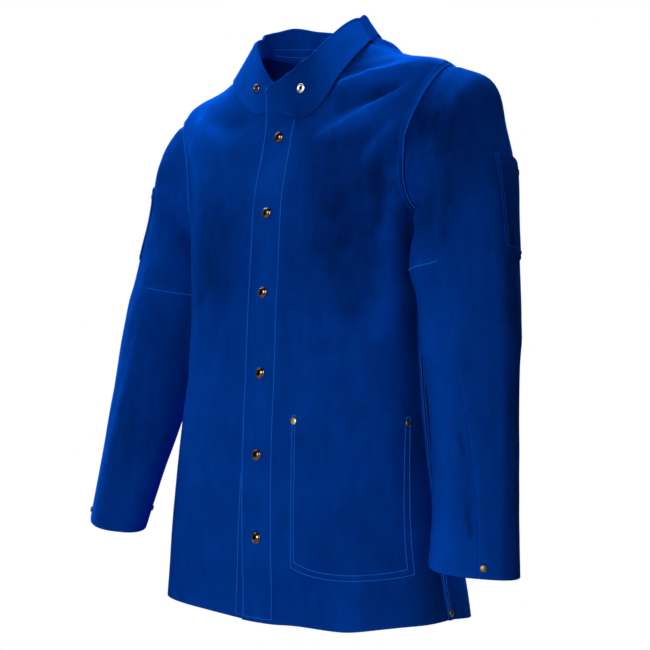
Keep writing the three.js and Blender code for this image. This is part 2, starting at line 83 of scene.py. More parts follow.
# Body sections from hem to neckline
BODY = table("side_z front_z back_z half_w front_d back_d centre_y square", [
    (-737, -745, -746, 220, 90, 130, -10, 3.0),
    (-570, -570, -570, 196, 88, 124, -14, 3.0),
    (-390, -390, -385, 178, 85, 122, -10, 2.9),
    (-236, -278, -236, 190, 82, 122, -6, 2.7),
    (-150, -212, -155, 208, 78, 116, -3, 2.4),
    (-61, -153, -88, 223, 66, 100, 0, 2.2),
    (-30, -120, -36, 148, 60, 84, 0, 2.0),
    (6, -90, 12, 78, 54, 64, 0, 2.0),
])
BODY_PITCH = 170
UNDERARM_ROW = 3
SHOULDER_ROW = 5
ARMHOLE_ROW = 4
NECK_ROW = 7
ARMHOLE_FRONT = 13
ARMHOLE_BACK = 17
ARMHOLE_SQUARE = 4
ARMHOLE_EASE = 0.3

# Sleeve sections from the armhole to the cuff
SLEEVE_COLUMNS = "in_x in_z out_x out_z mid_y half_d twist square seam"
SLEEVE = {
    "left": table(SLEEVE_COLUMNS, [
        (197, -238, 251, -67, -1, 54, 0, 2.0, 120),
        (200, -243, 279, -88, 0, 60, 0, 2.0, 108),
        (201, -250, 288, -133, 0, 63, 0, 2.1, 100),
        (198, -263, 299, -197, 0, 64, 5, 2.2, 96),
        (191, -292, 306, -270, -3, 63, 15, 2.3, 93),
        (191, -382, 311, -374, -8, 57, 28, 2.4, 86),
        (208, -482, 313, -476, -16, 50, 38, 2.5, 72),
        (218, -580, 317, -580, -26, 44, 42, 2.6, 58),
        (218, -658, 322, -671, -35, 40, 42, 2.6, 52),
    ]),
    "right": table(SLEEVE_COLUMNS, [
        (197, -238, 243, -71, -1, 52, 0, 2.0, 120),
        (199, -243, 257, -98, 1, 56, 0, 2.0, 108),
        (199, -250, 269, -143, 2, 58, 0, 2.1, 100),
        (195, -263, 282, -204, 2, 60, 5, 2.2, 96),
        (190, -294, 301, -268, 0, 61, 15, 2.3, 93),
        (199, -392, 325, -366, -16, 58, 28, 2.4, 86),
        (213, -493, 342, -468, -32, 53, 38, 2.5, 72),
        (239, -586, 361, -562, -43, 46, 42, 2.6, 58),
        (258, -658, 379, -634, -50, 41, 42, 2.6, 52),
    ]),
}
SIDES = {"left": 1, "right": -1}
CUFF_ROW = 8
SLEEVE_JOIN = 4.3
BACK_SEAM = -112.5
ARMHOLE_SEAM = 135
CAP_BLEND = 1.8
SLEEVE_RADIUS = 55
SLEEVE_PITCH = 90
LEAST_SCALE = 0.3

# Folds seen from the front (face 1) or the back (face -1)
FOLDS = table("from_x from_z to_x to_z height width face", [
    (104, -74, 166, -74, 3.5, 12, 1),
    (88, -142, 150, -118, 5, 16, 1),
    (150, -118, 190, -86, 7, 14, 1),
    (142, -182, 198, -104, 5, 13, 1),
    (196, -146, 178, -232, 2.5, 12, 1),
    (178, -232, 172, -380, 3, 14, 1),
    (128, -190, 138, -345, -6, 24, 1),
    (94, -168, 116, -268, -6, 36, 1),
    (150, -100, 188, -84, -4, 9, 1),
    (-150, -84, -84, -132, 3, 18, 1),
    (-120, -90, -70, -100, -3, 12, 1),
    (92, 0, 118, -14, 11, 22, -1),
    (-92, 0, -118, -14, 11, 22, -1),
    (72, -138, 112, -129, 3.0, 8, 1),
    (112, -129, 166, -107, 4.5, 6.5, 1),
    (166, -107, 206, -77, 4.5, 6.5, 1),
    (100, -76, 140, -68, 5.0, 6.5, 1),
    (140, -68, 180, -62, 4.5, 7, 1),
    (141, -173, 172, -139, 4.5, 7, 1),
    (172, -139, 202, -102, 4.2, 7, 1),
    (195, -126, 177, -194, 3.0, 9, 1),
    (177, -194, 164, -271, 4.0, 10, 1),
    (164, -271, 163, -387, 3.0, 12, 1),
    (190, -200, 182, -380, -3.0, 9, 1),
    (100, -104, 172, -86, -4.0, 9, 1),
    (104, -60, 160, -52, -2.2, 7, 1),
    (118, -158, 186, -108, -3.2, 9, 1),
    (94, -168, 116, -268, -3.0, 32, 1),
    (-150, -84, -84, -132, 2.0, 9, 1),
    (-176, -120, -130, -170, 2.2, 12, 1),
    (-190, -150, -160, -215, -2.5, 11, 1),
    (137, -640, 142, -745, 2.2, 16, 1),
])
FOLD_CLEAR = (15, 30)
FOLD_EDGE = 5
FOLD_REACH = 1.3

# Turned-down collar from the left front's end round the back to the right front's end
COLLAR = table("turn stand lean edge_turn edge_row", [
    (-27, 4, 0, -26, 6.9), (-20, 16, 0, -19, 6.88), (-12, 28, 1, -11, 6.82), (0, 38, 1, 3, 6.68),
    (10, 41, 2, 17, 6.25), (20, 37, 2, 30, 5.6), (32, 32, 3, 43, 5.15), (45, 25, 3, 54, 5.25),
    (60, 20, 3, 65, 5.9),
    (75, 21, 3, 77, 6.35), (90, 25, 3, 91, 6.66), (120, 24, 2, 120, 6.68), (150, 29, 3, 150, 6.5),
    (180, 34, 5, 180, 6.3), (210, 43, 5, 210, 6.3), (235, 51, 6, 235, 6.35), (255, 41, 7, 255, 6.4),
    (270, 31, 7, 270, 6.4), (285, 26, 6, 285, 6.25), (300, 27, 5, 297, 5.95), (312, 28, 4, 309, 5.75),
    (322, 28, 3, 319, 5.8), (329, 27, 1, 327, 6.1), (333, 26, -1, 332, 6.4), (338, 24, -5, 338, 6.9),
    (348, 23, -7, 348, 6.9), (360, 21, -7, 360, 6.9), (387, 13, -7, 387, 6.9),
])
COLLAR_LIP = (333, 338)
LIP_DROP = 5
COLLAR_ROLL = 3.4
ROLL_SHARE = 0.36
COLLAR_GAP = 2.2
CORNER_GAP_SHARE = 0.2
COLLAR_LOOSE = (30, 55, 275, 295)
COLLAR_SOFTNESS = 0.6

# Grid lines close to an edge, in millimetres from it
EDGE_STEPS = np.array([0, 0.5, 1.1, 1.8, 2.7, 3.8, 5.2, 6.6, 7.8, 8.8, 10, 12.5])
TURN_STEP = 0.5
ROW_STEP = 0.02


def smooth(x, low, high):
    """Cubic step from 0 at low to 1 at high."""
    t = np.clip((np.asarray(x, float) - low) / (high - low), 0, 1)
    return t * t * (3 - 2 * t)


def unit(v):
    return v / np.maximum(np.linalg.norm(v, axis=-1, keepdims=True), 1e-9)


def dot(a, b):
    return (a * b).sum(-1)


def bell(x, width):
    """Bump of height 1 that falls off as exp(-(x / width) squared)."""
    return np.exp(-((x / width) ** 2))


def along(column, row):
    """Catmull-Rom curve through a table's column, at row numbers that need not be whole."""
    last = len(column) - 1
    r = np.clip(np.asarray(row, float), 0, last)
    i = np.minimum(r.astype(int), last - 1)
    t = r - i
    b, c = column[i], column[i + 1]
    a = np.where(i > 0, column[np.maximum(i - 1, 0)], 2 * b - c)
    d = np.where(i < last - 1, column[np.minimum(i + 2, last)], 2 * c - b)
    return b + 0.5 * t * (c - a + t * (2 * a - 5 * b + 4 * c - d + t * (3 * b - a - 3 * c + d)))


def super_radius(cos, sin, cos_half, sin_half, square):
    """Distance from the centre of a superellipse to its edge, in the direction of cos and sin."""
    return (np.abs(cos / cos_half) ** square + np.abs(sin / sin_half) ** square) ** (-1 / square)


def body(turn, row):
    """Body surface: a superellipse for each row; its height goes from side to middle as cos squared."""
    turn, row = np.broadcast_arrays(np.asarray(turn, float), np.asarray(row, float))
    sin, cos = np.sin(np.radians(turn)), np.cos(np.radians(turn))
    front = cos > 0
    depth = np.where(front, along(BODY["front_d"], row), along(BODY["back_d"], row))
    radius = super_radius(cos, sin, depth, along(BODY["half_w"], row), along(BODY["square"], row))
    side = along(BODY["side_z"], row)
    middle = np.where(front, along(BODY["front_z"], row), along(BODY["back_z"], row))
    y = along(BODY["centre_y"], row) - radius * cos
    return np.stack([radius * sin, y, side + (middle - side) * cos * cos], -1)


def slopes(surface, u, v):
    """Steps of a surface for one unit of each parameter, from small steps to both sides."""
    by_u = (surface(u + TURN_STEP, v) - surface(u - TURN_STEP, v)) / (2 * TURN_STEP)
    by_v = (surface(u, v + ROW_STEP) - surface(u, v - ROW_STEP)) / (2 * ROW_STEP)
    return by_u, by_v


def body_normal(turn, row):
    """Outward unit normal of the body."""
    return unit(np.cross(*slopes(body, turn, np.clip(row, ROW_STEP, NECK_ROW - ROW_STEP))))


LATTICE_PRIMES = np.array([374761393, 668265263, 2147483647])
SEED_PRIME = 974634777
SCRAMBLE = 1274126177


def lattice(p, seed):
    """Smooth noise from -1 to 1: scrambled values on a lattice of whole numbers, blended by cubic steps."""
    cell = np.floor(p).astype(np.int64)
    share = p - cell
    share = share * share * (3 - 2 * share)
    total = np.zeros(p.shape[:-1])
    for corner in np.ndindex(2, 2, 2):
        k = cell + np.array(corner)
        mixed = (k * LATTICE_PRIMES).sum(-1) + seed * SEED_PRIME
        mixed = (mixed ^ (mixed >> 13)) * SCRAMBLE & 0xFFFFFFFF
        value = ((mixed ^ (mixed >> 16)) & 0xFFFF) / 32767.5 - 1
        total += value * np.prod(np.where(np.array(corner) == 1, share, 1 - share), -1)
    return total


# Soft unevenness of hung leather, as sizes and height: long upright swells, dents and short ripples
CREASES = (((64, 64, 190), 1.1), ((44, 44, 44), 0.7), ((17, 17, 24), 0.22))


def creases(p):
    """Swells, dents and ripples added up, each a noise of its own size and height."""
    return sum(height * lattice(p / np.array(size), k + 1) for k, (size, height) in enumerate(CREASES))


def nearest(p, curve):
    """Distance from each point to the nearest of a curve's points."""
    best = np.full(p.shape[:-1], np.inf)
    for q in curve:
        best = np.minimum(best, ((p - q) ** 2).sum(-1))
    return np.sqrt(best)


def left_side(p):
    """Points of both sides, those of the right one mirrored to the left."""
    return np.concatenate([np.abs(p[..., :1]), p[..., 1:]], -1)


def fold_height(turn, row):
    """Outward push of the folds: each is a bell across a line, faded beside the middle, seam and armhole."""
    cos = np.cos(np.radians(turn))
    face = np.sign(cos)
    away = np.degrees(np.arcsin(np.clip(np.abs(np.sin(np.radians(turn))), 0, 1)))
    cut = np.where(face > 0, ARMHOLE_FRONT, ARMHOLE_BACK) * bell(row - ARMHOLE_ROW, FOLD_REACH)
    fade = smooth(away, *FOLD_CLEAR) * smooth(90 - cut - away, 0, FOLD_EDGE)
    p = body(turn, row)[..., (0, 2)]
    push = np.zeros(p.shape[:-1])
    for from_x, from_z, to_x, to_z, height, width, side in zip(*FOLDS.values()):
        start = np.array([from_x, from_z])
        run = np.array([to_x, to_z]) - start
        t = np.clip((p - start) @ run / (run @ run), 0, 1)
        gap = np.linalg.norm(p - start - t[..., None] * run, axis=-1)
        push += np.where(face == side, height * bell(gap, width), 0)
    return push * fade


# Zones of painted light and shade on the body: middle across and up, half sizes, how much lighter or darker,
# face as for folds
SHADING_ZONES = table("x z half_x half_z amount face", [
    (124, -222, 60, 95, -0.2, 1),
    (62, -150, 42, 50, -0.06, 1),
    (95, -300, 70, 60, -0.1, 1),
    (186, -290, 13, 90, -0.3, 1),
    (191, -440, 9, 110, -0.26, 1),
    (-104, -288, 58, 88, -0.34, 1),
    (-140, -86, 44, 26, 0.38, 1),
    (164, -195, 17, 65, -0.22, 1),
    (108, -42, 34, 24, -0.34, 1),
    (92, -84, 26, 14, -0.12, 1),
    (146, -92, 26, 14, -0.2, 1),
    (20, -105, 26, 16, -0.16, 1),
    (0, -420, 24, 330, 0.08, 1),
    (190, -690, 30, 60, -0.06, 1),
    (30, -620, 90, 110, 0.05, 1),
    (135, -650, 50, 90, -0.09, 1),
    (215, -690, 30, 60, 0.2, -1),
    (0, -150, 170, 120, 0.04, -1),
])
# Painted light on fold ridges and painted shade in fold hollows; painted light on the shoulder's top and on
# the armhole's welt
FOLD_PAINTED_SHADING = 0.04
FOLD_PAINTED_RANGE = (-2.5, 12)
SHOULDER_PAINTED_LIGHT = 0.4
SHOULDER_PAINTED_ROWS = (4.7, 5.3)
SHOULDER_PAINTED_POWER = 14
WELT_PAINTED_LIGHT = 0.14
WELT_PAINTED_GAIN = 1.5
WELT_PAINTED_ROWS = (4.0, 4.8)


def body_shading(turn, row):
    """Painted light and shade, 0.5 by itself: painted light on fold ridges, on the top of the shoulder and on
    the armhole's welt, painted shade in fold hollows, with broad zones of painted light and shade."""
    p = body(turn, row)
    face = np.sign(np.cos(np.radians(turn)))
    tone = 0.5 + FOLD_PAINTED_SHADING * np.clip(fold_height(turn, row), *FOLD_PAINTED_RANGE)
    for x, z, half_x, half_z, amount, side in zip(*SHADING_ZONES.values()):
        away = np.hypot((p[..., 0] - x) / half_x, (p[..., 2] - z) / half_z)
        tone = tone + np.where(face == side, amount * bell(away, 1.0), 0)
    on_top = np.abs(np.sin(np.radians(turn))) ** SHOULDER_PAINTED_POWER * smooth(row, *SHOULDER_PAINTED_ROWS)
    welt = 1 - smooth(nearest(left_side(p), ARMHOLE_LINE), *SEAM_BAND)
    gain = 1 + WELT_PAINTED_GAIN * smooth(row, *WELT_PAINTED_ROWS)
    return tone + SHOULDER_PAINTED_LIGHT * on_top + WELT_PAINTED_LIGHT * welt * gain


def armhole_cut(rise, face):
    """Degrees cut into a front or the back, half an oval from rise -1 under the arm to 1 on the shoulder;
    that of a front is squarer in its lower half and eased in its upper half."""
    power = np.where((face > 0) & (rise < 0), ARMHOLE_SQUARE, 2)
    half = (1 - np.minimum(1, np.abs(rise)) ** power) ** (1 / power)
    ease = 1 - ARMHOLE_EASE * np.maximum(0, rise)
    return half * np.where(face > 0, ARMHOLE_FRONT * ease, ARMHOLE_BACK)


def armhole_path(psi):
    """Turn and row of the armhole seam: psi is 0 at the shoulder, 90 at the front and 180 under the arm."""
    face, rise = np.sign(np.sin(np.radians(psi))), np.cos(np.radians(psi))
    return 90 - face * armhole_cut(rise, face), ARMHOLE_ROW + rise


def armhole(psi, side):
    """Points of a sleeve's edge in the armhole, one seam away from the body."""
    p = body(*armhole_path(psi))
    p[..., 0] = SIDES[side] * (p[..., 0] + SEAM)
    return p


ARMHOLE_LINE = armhole(np.linspace(0, 360, 420), "left")
SIDE_LINES = np.concatenate([
    body(90, np.linspace(0, UNDERARM_ROW, 260)), body(90, np.linspace(SHOULDER_ROW, NECK_ROW, 120)),
])
SEAM_RIDGE = 1.3
SEAM_BAND = (7.8, 9.6)
SEAM_GROOVE = 0.8
GROOVE_WIDTH = 1.1
CALM = 30


def seam_lift(turn, row, back):
    """Relief of the sewn edges: a flat ridge over the turned-in edge, a groove in the seam; also a share from
    0 in the armhole to 1 away from it, by which creases are calmed."""
    p = left_side(body(turn, row))
    arm, straight = nearest(p, ARMHOLE_LINE), nearest(p, SIDE_LINES)
    ridge = np.minimum(arm, straight) if back else arm
    relief = SEAM_RIDGE * (1 - smooth(ridge, *SEAM_BAND))
    relief -= SEAM_GROOVE * bell(np.minimum(arm, straight), GROOVE_WIDTH)
    return relief, smooth(arm, 0, CALM)


def lap_turn(row, offset=FRONT_LAP):
    """Degrees at which a line at a distance from the centre front lies."""
    return np.degrees(np.arctan(offset / along(BODY["front_d"], row)))


def lap_lift(turn, row):
    """Height of the left front over the body: a layer at the lap, more at its top corner over the collar."""
    corner = NECK_LIFT * smooth(row, *NECK_LIFT_ROWS) * (1 - smooth(turn, *NECK_LIFT_TURNS))
    return LAP_LIFT * (1 - smooth(turn - lap_turn(row), *LAP_FADE)) + corner


def shell(turn, row, lift=0.0, relief=0.0, calm=1.0):
    """Jacket's body: the plain surface moved out by folds, creases, layers and relief; the left front's hem
    sags a little and then rises towards its side seam."""
    p = body(turn, row)
    push = fold_height(turn, row) + creases(p) * calm + lift + relief
    rise = HEM_RISE * smooth(turn, *HEM_RISE_TURNS) * (1 - smooth(turn, *HEM_RISE_END))
    rise = (rise - HEM_SAG * bell(turn - HEM_SAG_TURN, HEM_SAG_WIDTH)) * (1 - smooth(row, *HEM_ROWS))
    return p + body_normal(turn, row) * push[..., None] + rise[..., None] * UP


def side_edge(row, face):
    """Degrees from the centre line at which a front or the back ends beside the armhole or the side seam."""
    return 90 - face * (armhole_cut(row - ARMHOLE_ROW, face) + np.degrees(SEAM / 2 / body(90.0, row)[..., 0]))


def sleeve(psi, row, side):
    """Sleeve surface: the armhole seam at row -1 turns into oval sections from an inner to an outer point."""
    psi, row = np.broadcast_arrays(np.asarray(psi, float), np.asarray(row, float))
    t = {name: along(column, row) for name, column in SLEEVE[side].items()}
    half = np.hypot(t["out_x"] - t["in_x"], t["out_z"] - t["in_z"]) / 2
    turned = np.radians(psi + t["twist"])
    r = super_radius(np.cos(turned), np.sin(turned), half, t["half_d"], t["square"])
    out = r / half * np.cos(np.radians(psi))
    p = np.stack([
        SIDES[side] * ((t["in_x"] + t["out_x"]) / 2 + out * (t["out_x"] - t["in_x"]) / 2),
        t["mid_y"] - r * np.sin(np.radians(psi)),
        (t["in_z"] + t["out_z"]) / 2 + out * (t["out_z"] - t["in_z"]) / 2,
    ], -1)
    hole = armhole(psi, side)
    return hole + (p - hole) * smooth(row, -1, CAP_BLEND - 1)[..., None]


def sleeve_normal(psi, row, side):
    """Outward unit normal of a sleeve."""
    inside = np.clip(row, -0.95, CUFF_ROW - ROW_STEP)
    return SIDES[side] * unit(np.cross(*slopes(partial(sleeve, side=side), psi, inside)))


def front_seam(row, side):
    """Degrees at which a sleeve's front seam lies."""
    seam = along(SLEEVE[side]["seam"], row)
    return ARMHOLE_SEAM + (seam - ARMHOLE_SEAM) * smooth(row, -1, 0)


# Wrinkles of the sleeves: from and to as degrees round the arm and sleeve row, height and width
WRINKLES = {
    "left": [
        (138, -0.75, 104, 0.9, 3.2, 8), (150, -0.5, 124, 1.4, -2.6, 7), (126, -0.8, 84, 0.2, -1.8, 7),
        (96, 3.6, 60, 5.0, 1.6, 16), (-70, 4.2, -20, 5.2, 1.5, 18), (88, 5.2, 96, 5.9, -1.8, 6),
        (66, 6.6, 60, 7.3, -1.6, 6), (-40, 5.6, -52, 7.6, -2.2, 15), (30, 1.2, 60, 2.8, 1.4, 18),
        (137, 2.7, 139, 4.3, 11, 27), (112, 2.4, 133, 3.2, 4, 5), (122, 3.0, 140, 3.8, -3, 6),
        (79, 6.3, 74, 6.5, -2.6, 3), (85, 6.1, 77, 6.45, 2, 5), (70, 7.15, 65, 7.45, -2.6, 3),
        (77, 7.0, 67, 7.4, 2, 5),
    ],
    "right": [
        (132, -0.7, 100, 0.8, 3.0, 8), (146, -0.5, 120, 1.2, -2.4, 7), (60, 0.6, 40, 2.2, 1.8, 16),
        (100, 3.8, 70, 4.8, 1.8, 15), (40, 4.6, 10, 5.6, 1.6, 18), (84, 5.0, 76, 6.6, -1.6, 12),
    ],
}
WRINKLE_POINTS = 40
WRINKLE_CLEAR = 10
SEWN_PUCKER = 0.8
PUCKER_REACH = 9
PUCKER_SIZE = 15
PUCKER_SEED = 5


def wrinkle_line(ends, side):
    """Points of a wrinkle: a straight line in degrees and rows, laid on the sleeve."""
    share = np.linspace(0, 1, WRINKLE_POINTS)
    return sleeve(ends[0] + (ends[2] - ends[0]) * share, ends[1] + (ends[3] - ends[1]) * share, side)


def sleeve_push(psi, row, side):
    """Relief of a sleeve: grooves in seams, puckers along them, wrinkles as bells across lines, creases."""
    p = sleeve(psi, row, side)
    rows = np.linspace(-1, CUFF_ROW, 330)
    arm = nearest(left_side(p), ARMHOLE_LINE)
    front = nearest(p, sleeve(front_seam(rows, side), rows, side))
    back = nearest(p, sleeve(np.full_like(rows, BACK_SEAM), rows, side))
    push = -SEAM_GROOVE * (bell(np.minimum(arm, np.minimum(front, back)), GROOVE_WIDTH))
    pucker = bell(front, PUCKER_REACH) * lattice(p / PUCKER_SIZE, PUCKER_SEED)
    push += SEWN_PUCKER * pucker * smooth(row, 0, 1)
    for *ends, height, width in WRINKLES[side]:
        push += height * bell(nearest(p, wrinkle_line(ends, side)), width) * smooth(arm, 0, WRINKLE_CLEAR)
    return push + creases(p) * smooth(arm, 0, CALM)


def sleeve_face(psi, row, side, lift=0.0):
    """Sleeve with its relief, moved out by a lift."""
    push = sleeve_push(psi, row, side) + lift
    return sleeve(psi, row, side) + sleeve_normal(psi, row, side) * push[..., None]


def ruled(start, end, scale_start, scale_end, steps):
    """Grid lines between two edges: close together beside both, even between; scales are mm for one unit."""
    first = start[..., None] + EDGE_STEPS / scale_start[..., None]
    last = end[..., None] - EDGE_STEPS[::-1] / scale_end[..., None]
    share = np.linspace(0, 1, steps + 1)[1:-1]
    between = first[..., -1:] + (last[..., :1] - first[..., -1:]) * share
    return np.concatenate([first, between, last], -1)


def turn_scale(turn, row):
    """Millimetres on the body for one degree of turn."""
    return np.linalg.norm(slopes(body, turn, np.clip(row, ROW_STEP, NECK_ROW - ROW_STEP))[0], axis=-1)


# Meshes: every piece is written once, in metres, and rides on the jacket's one body.


def write_mesh(name, points, faces, finishes, kinds=None, values=(), uv=None):
    """New object from points in millimetres and blocks of faces; a shape that is inside out is turned."""
    volume = sum(
        dot(points[f[:, 0]], np.cross(points[f[:, k]], points[f[:, k + 1]])).sum()
        for f in faces for k in range(1, f.shape[1] - 1)
    )
    if volume < 0:
        faces = [f[:, ::-1] for f in faces]
    corners = np.concatenate([f.ravel() for f in faces]).astype(np.int32)
    sizes = np.concatenate([np.full(len(f), f.shape[1]) for f in faces])
    starts = np.concatenate([[0], np.cumsum(sizes)[:-1]]).astype(np.int32)
    mesh = bpy.data.meshes.new(name)
    mesh.vertices.add(len(points))
    mesh.vertices.foreach_set("co", (points * MM).astype(np.float32).ravel())
    mesh.loops.add(len(corners))
    mesh.loops.foreach_set("vertex_index", corners)
    mesh.polygons.add(len(sizes))
    mesh.polygons.foreach_set("loop_start", starts)
    mesh.polygons.foreach_set("use_smooth", np.ones(len(sizes), bool))
    for finish in finishes:
        mesh.materials.append(finish)
    if kinds is not None:
        mesh.polygons.foreach_set("material_index", np.concatenate(kinds).astype(np.int32))
    for label, value in dict(values).items():
        mesh.attributes.new(label, "FLOAT", "POINT").data.foreach_set("value", value.astype(np.float32))
    if uv is not None:
        mesh.uv_layers.new(name="run").data.foreach_set("uv", uv[corners].astype(np.float32).ravel())
    mesh.update(calc_edges=True)
    mesh.validate()
    piece = bpy.data.objects.new(name, mesh)
    bpy.context.scene.collection.objects.link(piece)
    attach(piece, "root")
    return piece


RIM_SWELL = 0.35
WEAR_REACH = 2.6


def leather(name, outer, inner, finishes, node, painted_shading=0.5, rubbed=1.0):
    """Closed wall between two grids with a rounded rim; the solid that it stands for is hidden."""
    rows, columns = outer.shape[:2]
    count = rows * columns
    number = np.arange(count).reshape(rows, columns)
    quads = np.stack([number[:-1, :-1], number[:-1, 1:], number[1:, 1:], number[1:, :-1]], -1).reshape(-1, 4)
    ring = np.concatenate([number[0, :-1], number[:-1, -1], number[-1, :0:-1], number[:0:-1, 0]])
    i, j = np.divmod(ring, columns)
    inward = number[np.clip(i, 1, rows - 2), np.clip(j, 1, columns - 2)]
    a, b = outer.reshape(-1, 3), inner.reshape(-1, 3)
    thick = np.linalg.norm(a[ring] - b[ring], axis=-1, keepdims=True)
    rim = (a[ring] + b[ring]) / 2 + unit(a[ring] - a[inward]) * thick * RIM_SWELL
    k = 2 * count + np.arange(len(ring))
    after = np.roll(np.arange(len(ring)), -1)
    faces = [
        quads, quads[:, ::-1] + count,
        np.stack([ring[after], ring, k, k[after]], -1),
        np.stack([k[after], k, ring + count, ring[after] + count], -1),
    ]
    kinds = [np.full(len(f), int(n == 1 and len(finishes) > 1)) for n, f in enumerate(faces)]
    across = np.linalg.norm(np.diff(outer, axis=1), axis=-1)
    down = np.linalg.norm(np.diff(outer, axis=0), axis=-1)
    walked = [np.pad(np.cumsum(across, 1), ((0, 0), (1, 0))), np.pad(np.cumsum(down, 0), ((1, 0), (0, 0)))]
    edge = np.minimum.reduce([
        walked[0], walked[0][:, -1:] - walked[0], walked[1], walked[1][-1:] - walked[1],
    ])
    wear = rubbed * np.exp(-edge / WEAR_REACH).ravel()
    painted_shading = np.broadcast_to(painted_shading, (rows, columns)).ravel()
    piece = write_mesh(name, np.concatenate([a, b, rim]), faces, finishes, kinds, {
        "wear": np.concatenate([wear, wear, wear[ring]]), "painted_shading": np.concatenate([painted_shading, painted_shading, painted_shading[ring]]),
    })
    diagonals = outer[1:, 1:] - outer[:-1, :-1], outer[1:, :-1] - outer[:-1, 1:]
    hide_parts(node)


# Shader formulas


class Signal:
    """A node's output. Sums, differences and products add Math nodes, so a finish reads as a formula."""

    def __init__(self, finish, socket):
        self.finish, self.socket = finish, socket

    def math(self, operation, a, b):
        return self.finish.node("ShaderNodeMath", {"operation": operation}, {0: a, 1: b})

    def __add__(self, other):
        return self.math("ADD", self, other)

    def __sub__(self, other):
        return self.math("SUBTRACT", self, other)

    def __mul__(self, other):
        return self.math("MULTIPLY", self, other)

    __radd__ = __add__
    __rmul__ = __mul__


class Finish:
    """A material under construction around one Principled shader."""

    def __init__(self, name, **constants):
        self.material = bpy.data.materials.new(name)
        self.material.use_nodes = True
        self.tree = self.material.node_tree
        self.shader = next(n for n in self.tree.nodes if n.type == "BSDF_PRINCIPLED")
        for socket, value in constants.items():
            self.shader.inputs[socket.replace("_", " ")].default_value = value
        self.place = self.node("ShaderNodeTexCoord", out="Object")

    def node(self, kind, settings=None, inputs=None, out=0):
        """Adds a node: settings first, then the values or links of its sockets; gives one of its outputs."""
        node = self.tree.nodes.new(kind)
        for name, value in (settings or {}).items():
            setattr(node, name, value)
        for socket, value in (inputs or {}).items():
            self.feed(node.inputs[socket], value)
        return Signal(self, node.outputs[out])

    def feed(self, socket, value):
        """Links a signal to a socket, or sets a plain value."""
        if isinstance(value, Signal):
            self.tree.links.new(value.socket, socket)
        else:
            socket.default_value = value

    def set(self, **links):
        """Feeds the shader's sockets and gives the finished material."""
        for socket, value in links.items():
            self.feed(self.shader.inputs[socket.replace("_", " ")], value)
        return self.material

    def noise(self, scale, detail=2.0, roughness=0.5, at=None):
        """Noise from 0 to 1 with so many bumps in a metre."""
        return self.node("ShaderNodeTexNoise", None, {
            "Vector": at or self.place, "Scale": scale, "Detail": detail, "Roughness": roughness})

    def stretched(self, *factors):
        """Object coordinates squeezed along each axis."""
        return self.node("ShaderNodeMapping", None, {"Vector": self.place, "Scale": factors})

    def mix(self, share, a, b):
        """Colour between a and b."""
        return self.node("ShaderNodeMix", {"data_type": "RGBA"}, {0: share, 6: a, 7: b}, out=2)

    def step(self, value, low, high):
        """Smooth step of a value from 0 at low to 1 at high."""
        return self.node("ShaderNodeMapRange", {"interpolation_type": "SMOOTHSTEP"}, {
            "Value": value, "From Min": low, "From Max": high})

    def painted(self, name):
        """Value that the mesh carries at each point."""
        return self.node("ShaderNodeAttribute", {"attribute_name": name}, out="Fac")

    def bump(self, height, distance, strength):
        """Normal of a relief with the given height in metres."""
        return self.node("ShaderNodeBump", None, {
            "Height": height, "Distance": distance, "Strength": strength})

    def wave(self, direction, at, scale):
        """Bands from 0 to 1 across a direction."""
        return self.node("ShaderNodeTexWave", {"bands_direction": direction}, {
            "Vector": at, "Scale": scale}, out="Fac")


def suede(name, deep, light, relief_strength):
    """Split leather: a tone from deep to light, made of the painted light and shade carried by the mesh,
    patches, short strokes and grain, with paler rubbed edges."""
    f = Finish(name, Specular_IOR_Level=0.0, Sheen_Weight=0.2, Sheen_Roughness=0.45,
               Sheen_Tint=(0.0, 0.17, 1.0, 1))
    patches = f.noise(18.0, 4.0, 0.6)
    strokes = f.noise(70.0, 3.0, 0.6, f.stretched(1.0, 1.0, 0.4))
    grain = f.noise(800.0, 2.0, 0.6)
    fibre = f.noise(2600.0, 1.0, 0.5, f.stretched(1.0, 1.0, 0.55))
    # The mesh's painted light and shade, with the leather's own patches, strokes and grain on top
    tone = f.painted("painted_shading") + 0.34 * (patches - 0.5) + 0.34 * (strokes - 0.5) + 0.28 * (grain - 0.5)
    tone = tone + 0.22 * f.painted("wear") * f.noise(240.0)
    colour = f.mix(tone, deep, light)
    relief = 0.5 * grain + 0.4 * fibre + 0.6 * strokes
    return f.set(Base_Color=colour, Roughness=0.8 + 0.18 * strokes,
                 Normal=f.bump(relief, 0.0006, relief_strength))


def sewing_thread(name, light, dark):
    """Twisted thread: slanting plies as a band along and round each stitch."""
    f = Finish(name, Specular_IOR_Level=0.0, Sheen_Weight=0.1, Sheen_Tint=(0.0, 0.2, 1.0, 1.0))
    run = f.node("ShaderNodeUVMap", {"uv_map": "run"})
    plies = f.wave("DIAGONAL", run, 1.6)
    shade = f.mix(f.step(plies, 0.1, 0.8), dark, light)
    shade = f.mix(0.25 * f.noise(400.0), shade, dark)
    return f.set(Base_Color=shade, Roughness=0.62 + 0.2 * plies, Normal=f.bump(plies, 0.0001, 0.6))


def metal(name, polished, tarnish, gloss, spread):
    """Plated fastener: tarnish in soft clouds and fine specks, duller where it is tarnished."""
    f = Finish(name, Metallic=1.0)
    cloud = f.step(0.7 * f.noise(300.0, 3.0, 0.6) + 0.3 * f.noise(1500.0), 0.5 - spread, 0.5 + spread)
    scratch = f.noise(1200.0, 2.0, 0.5, f.stretched(1.0, 1.0, 0.15))
    colour = f.mix(cloud, polished, tarnish)
    return f.set(Base_Color=colour, Roughness=gloss + 0.16 * cloud + 0.06 * scratch,
                 Normal=f.bump(scratch, 0.00005, 0.15))


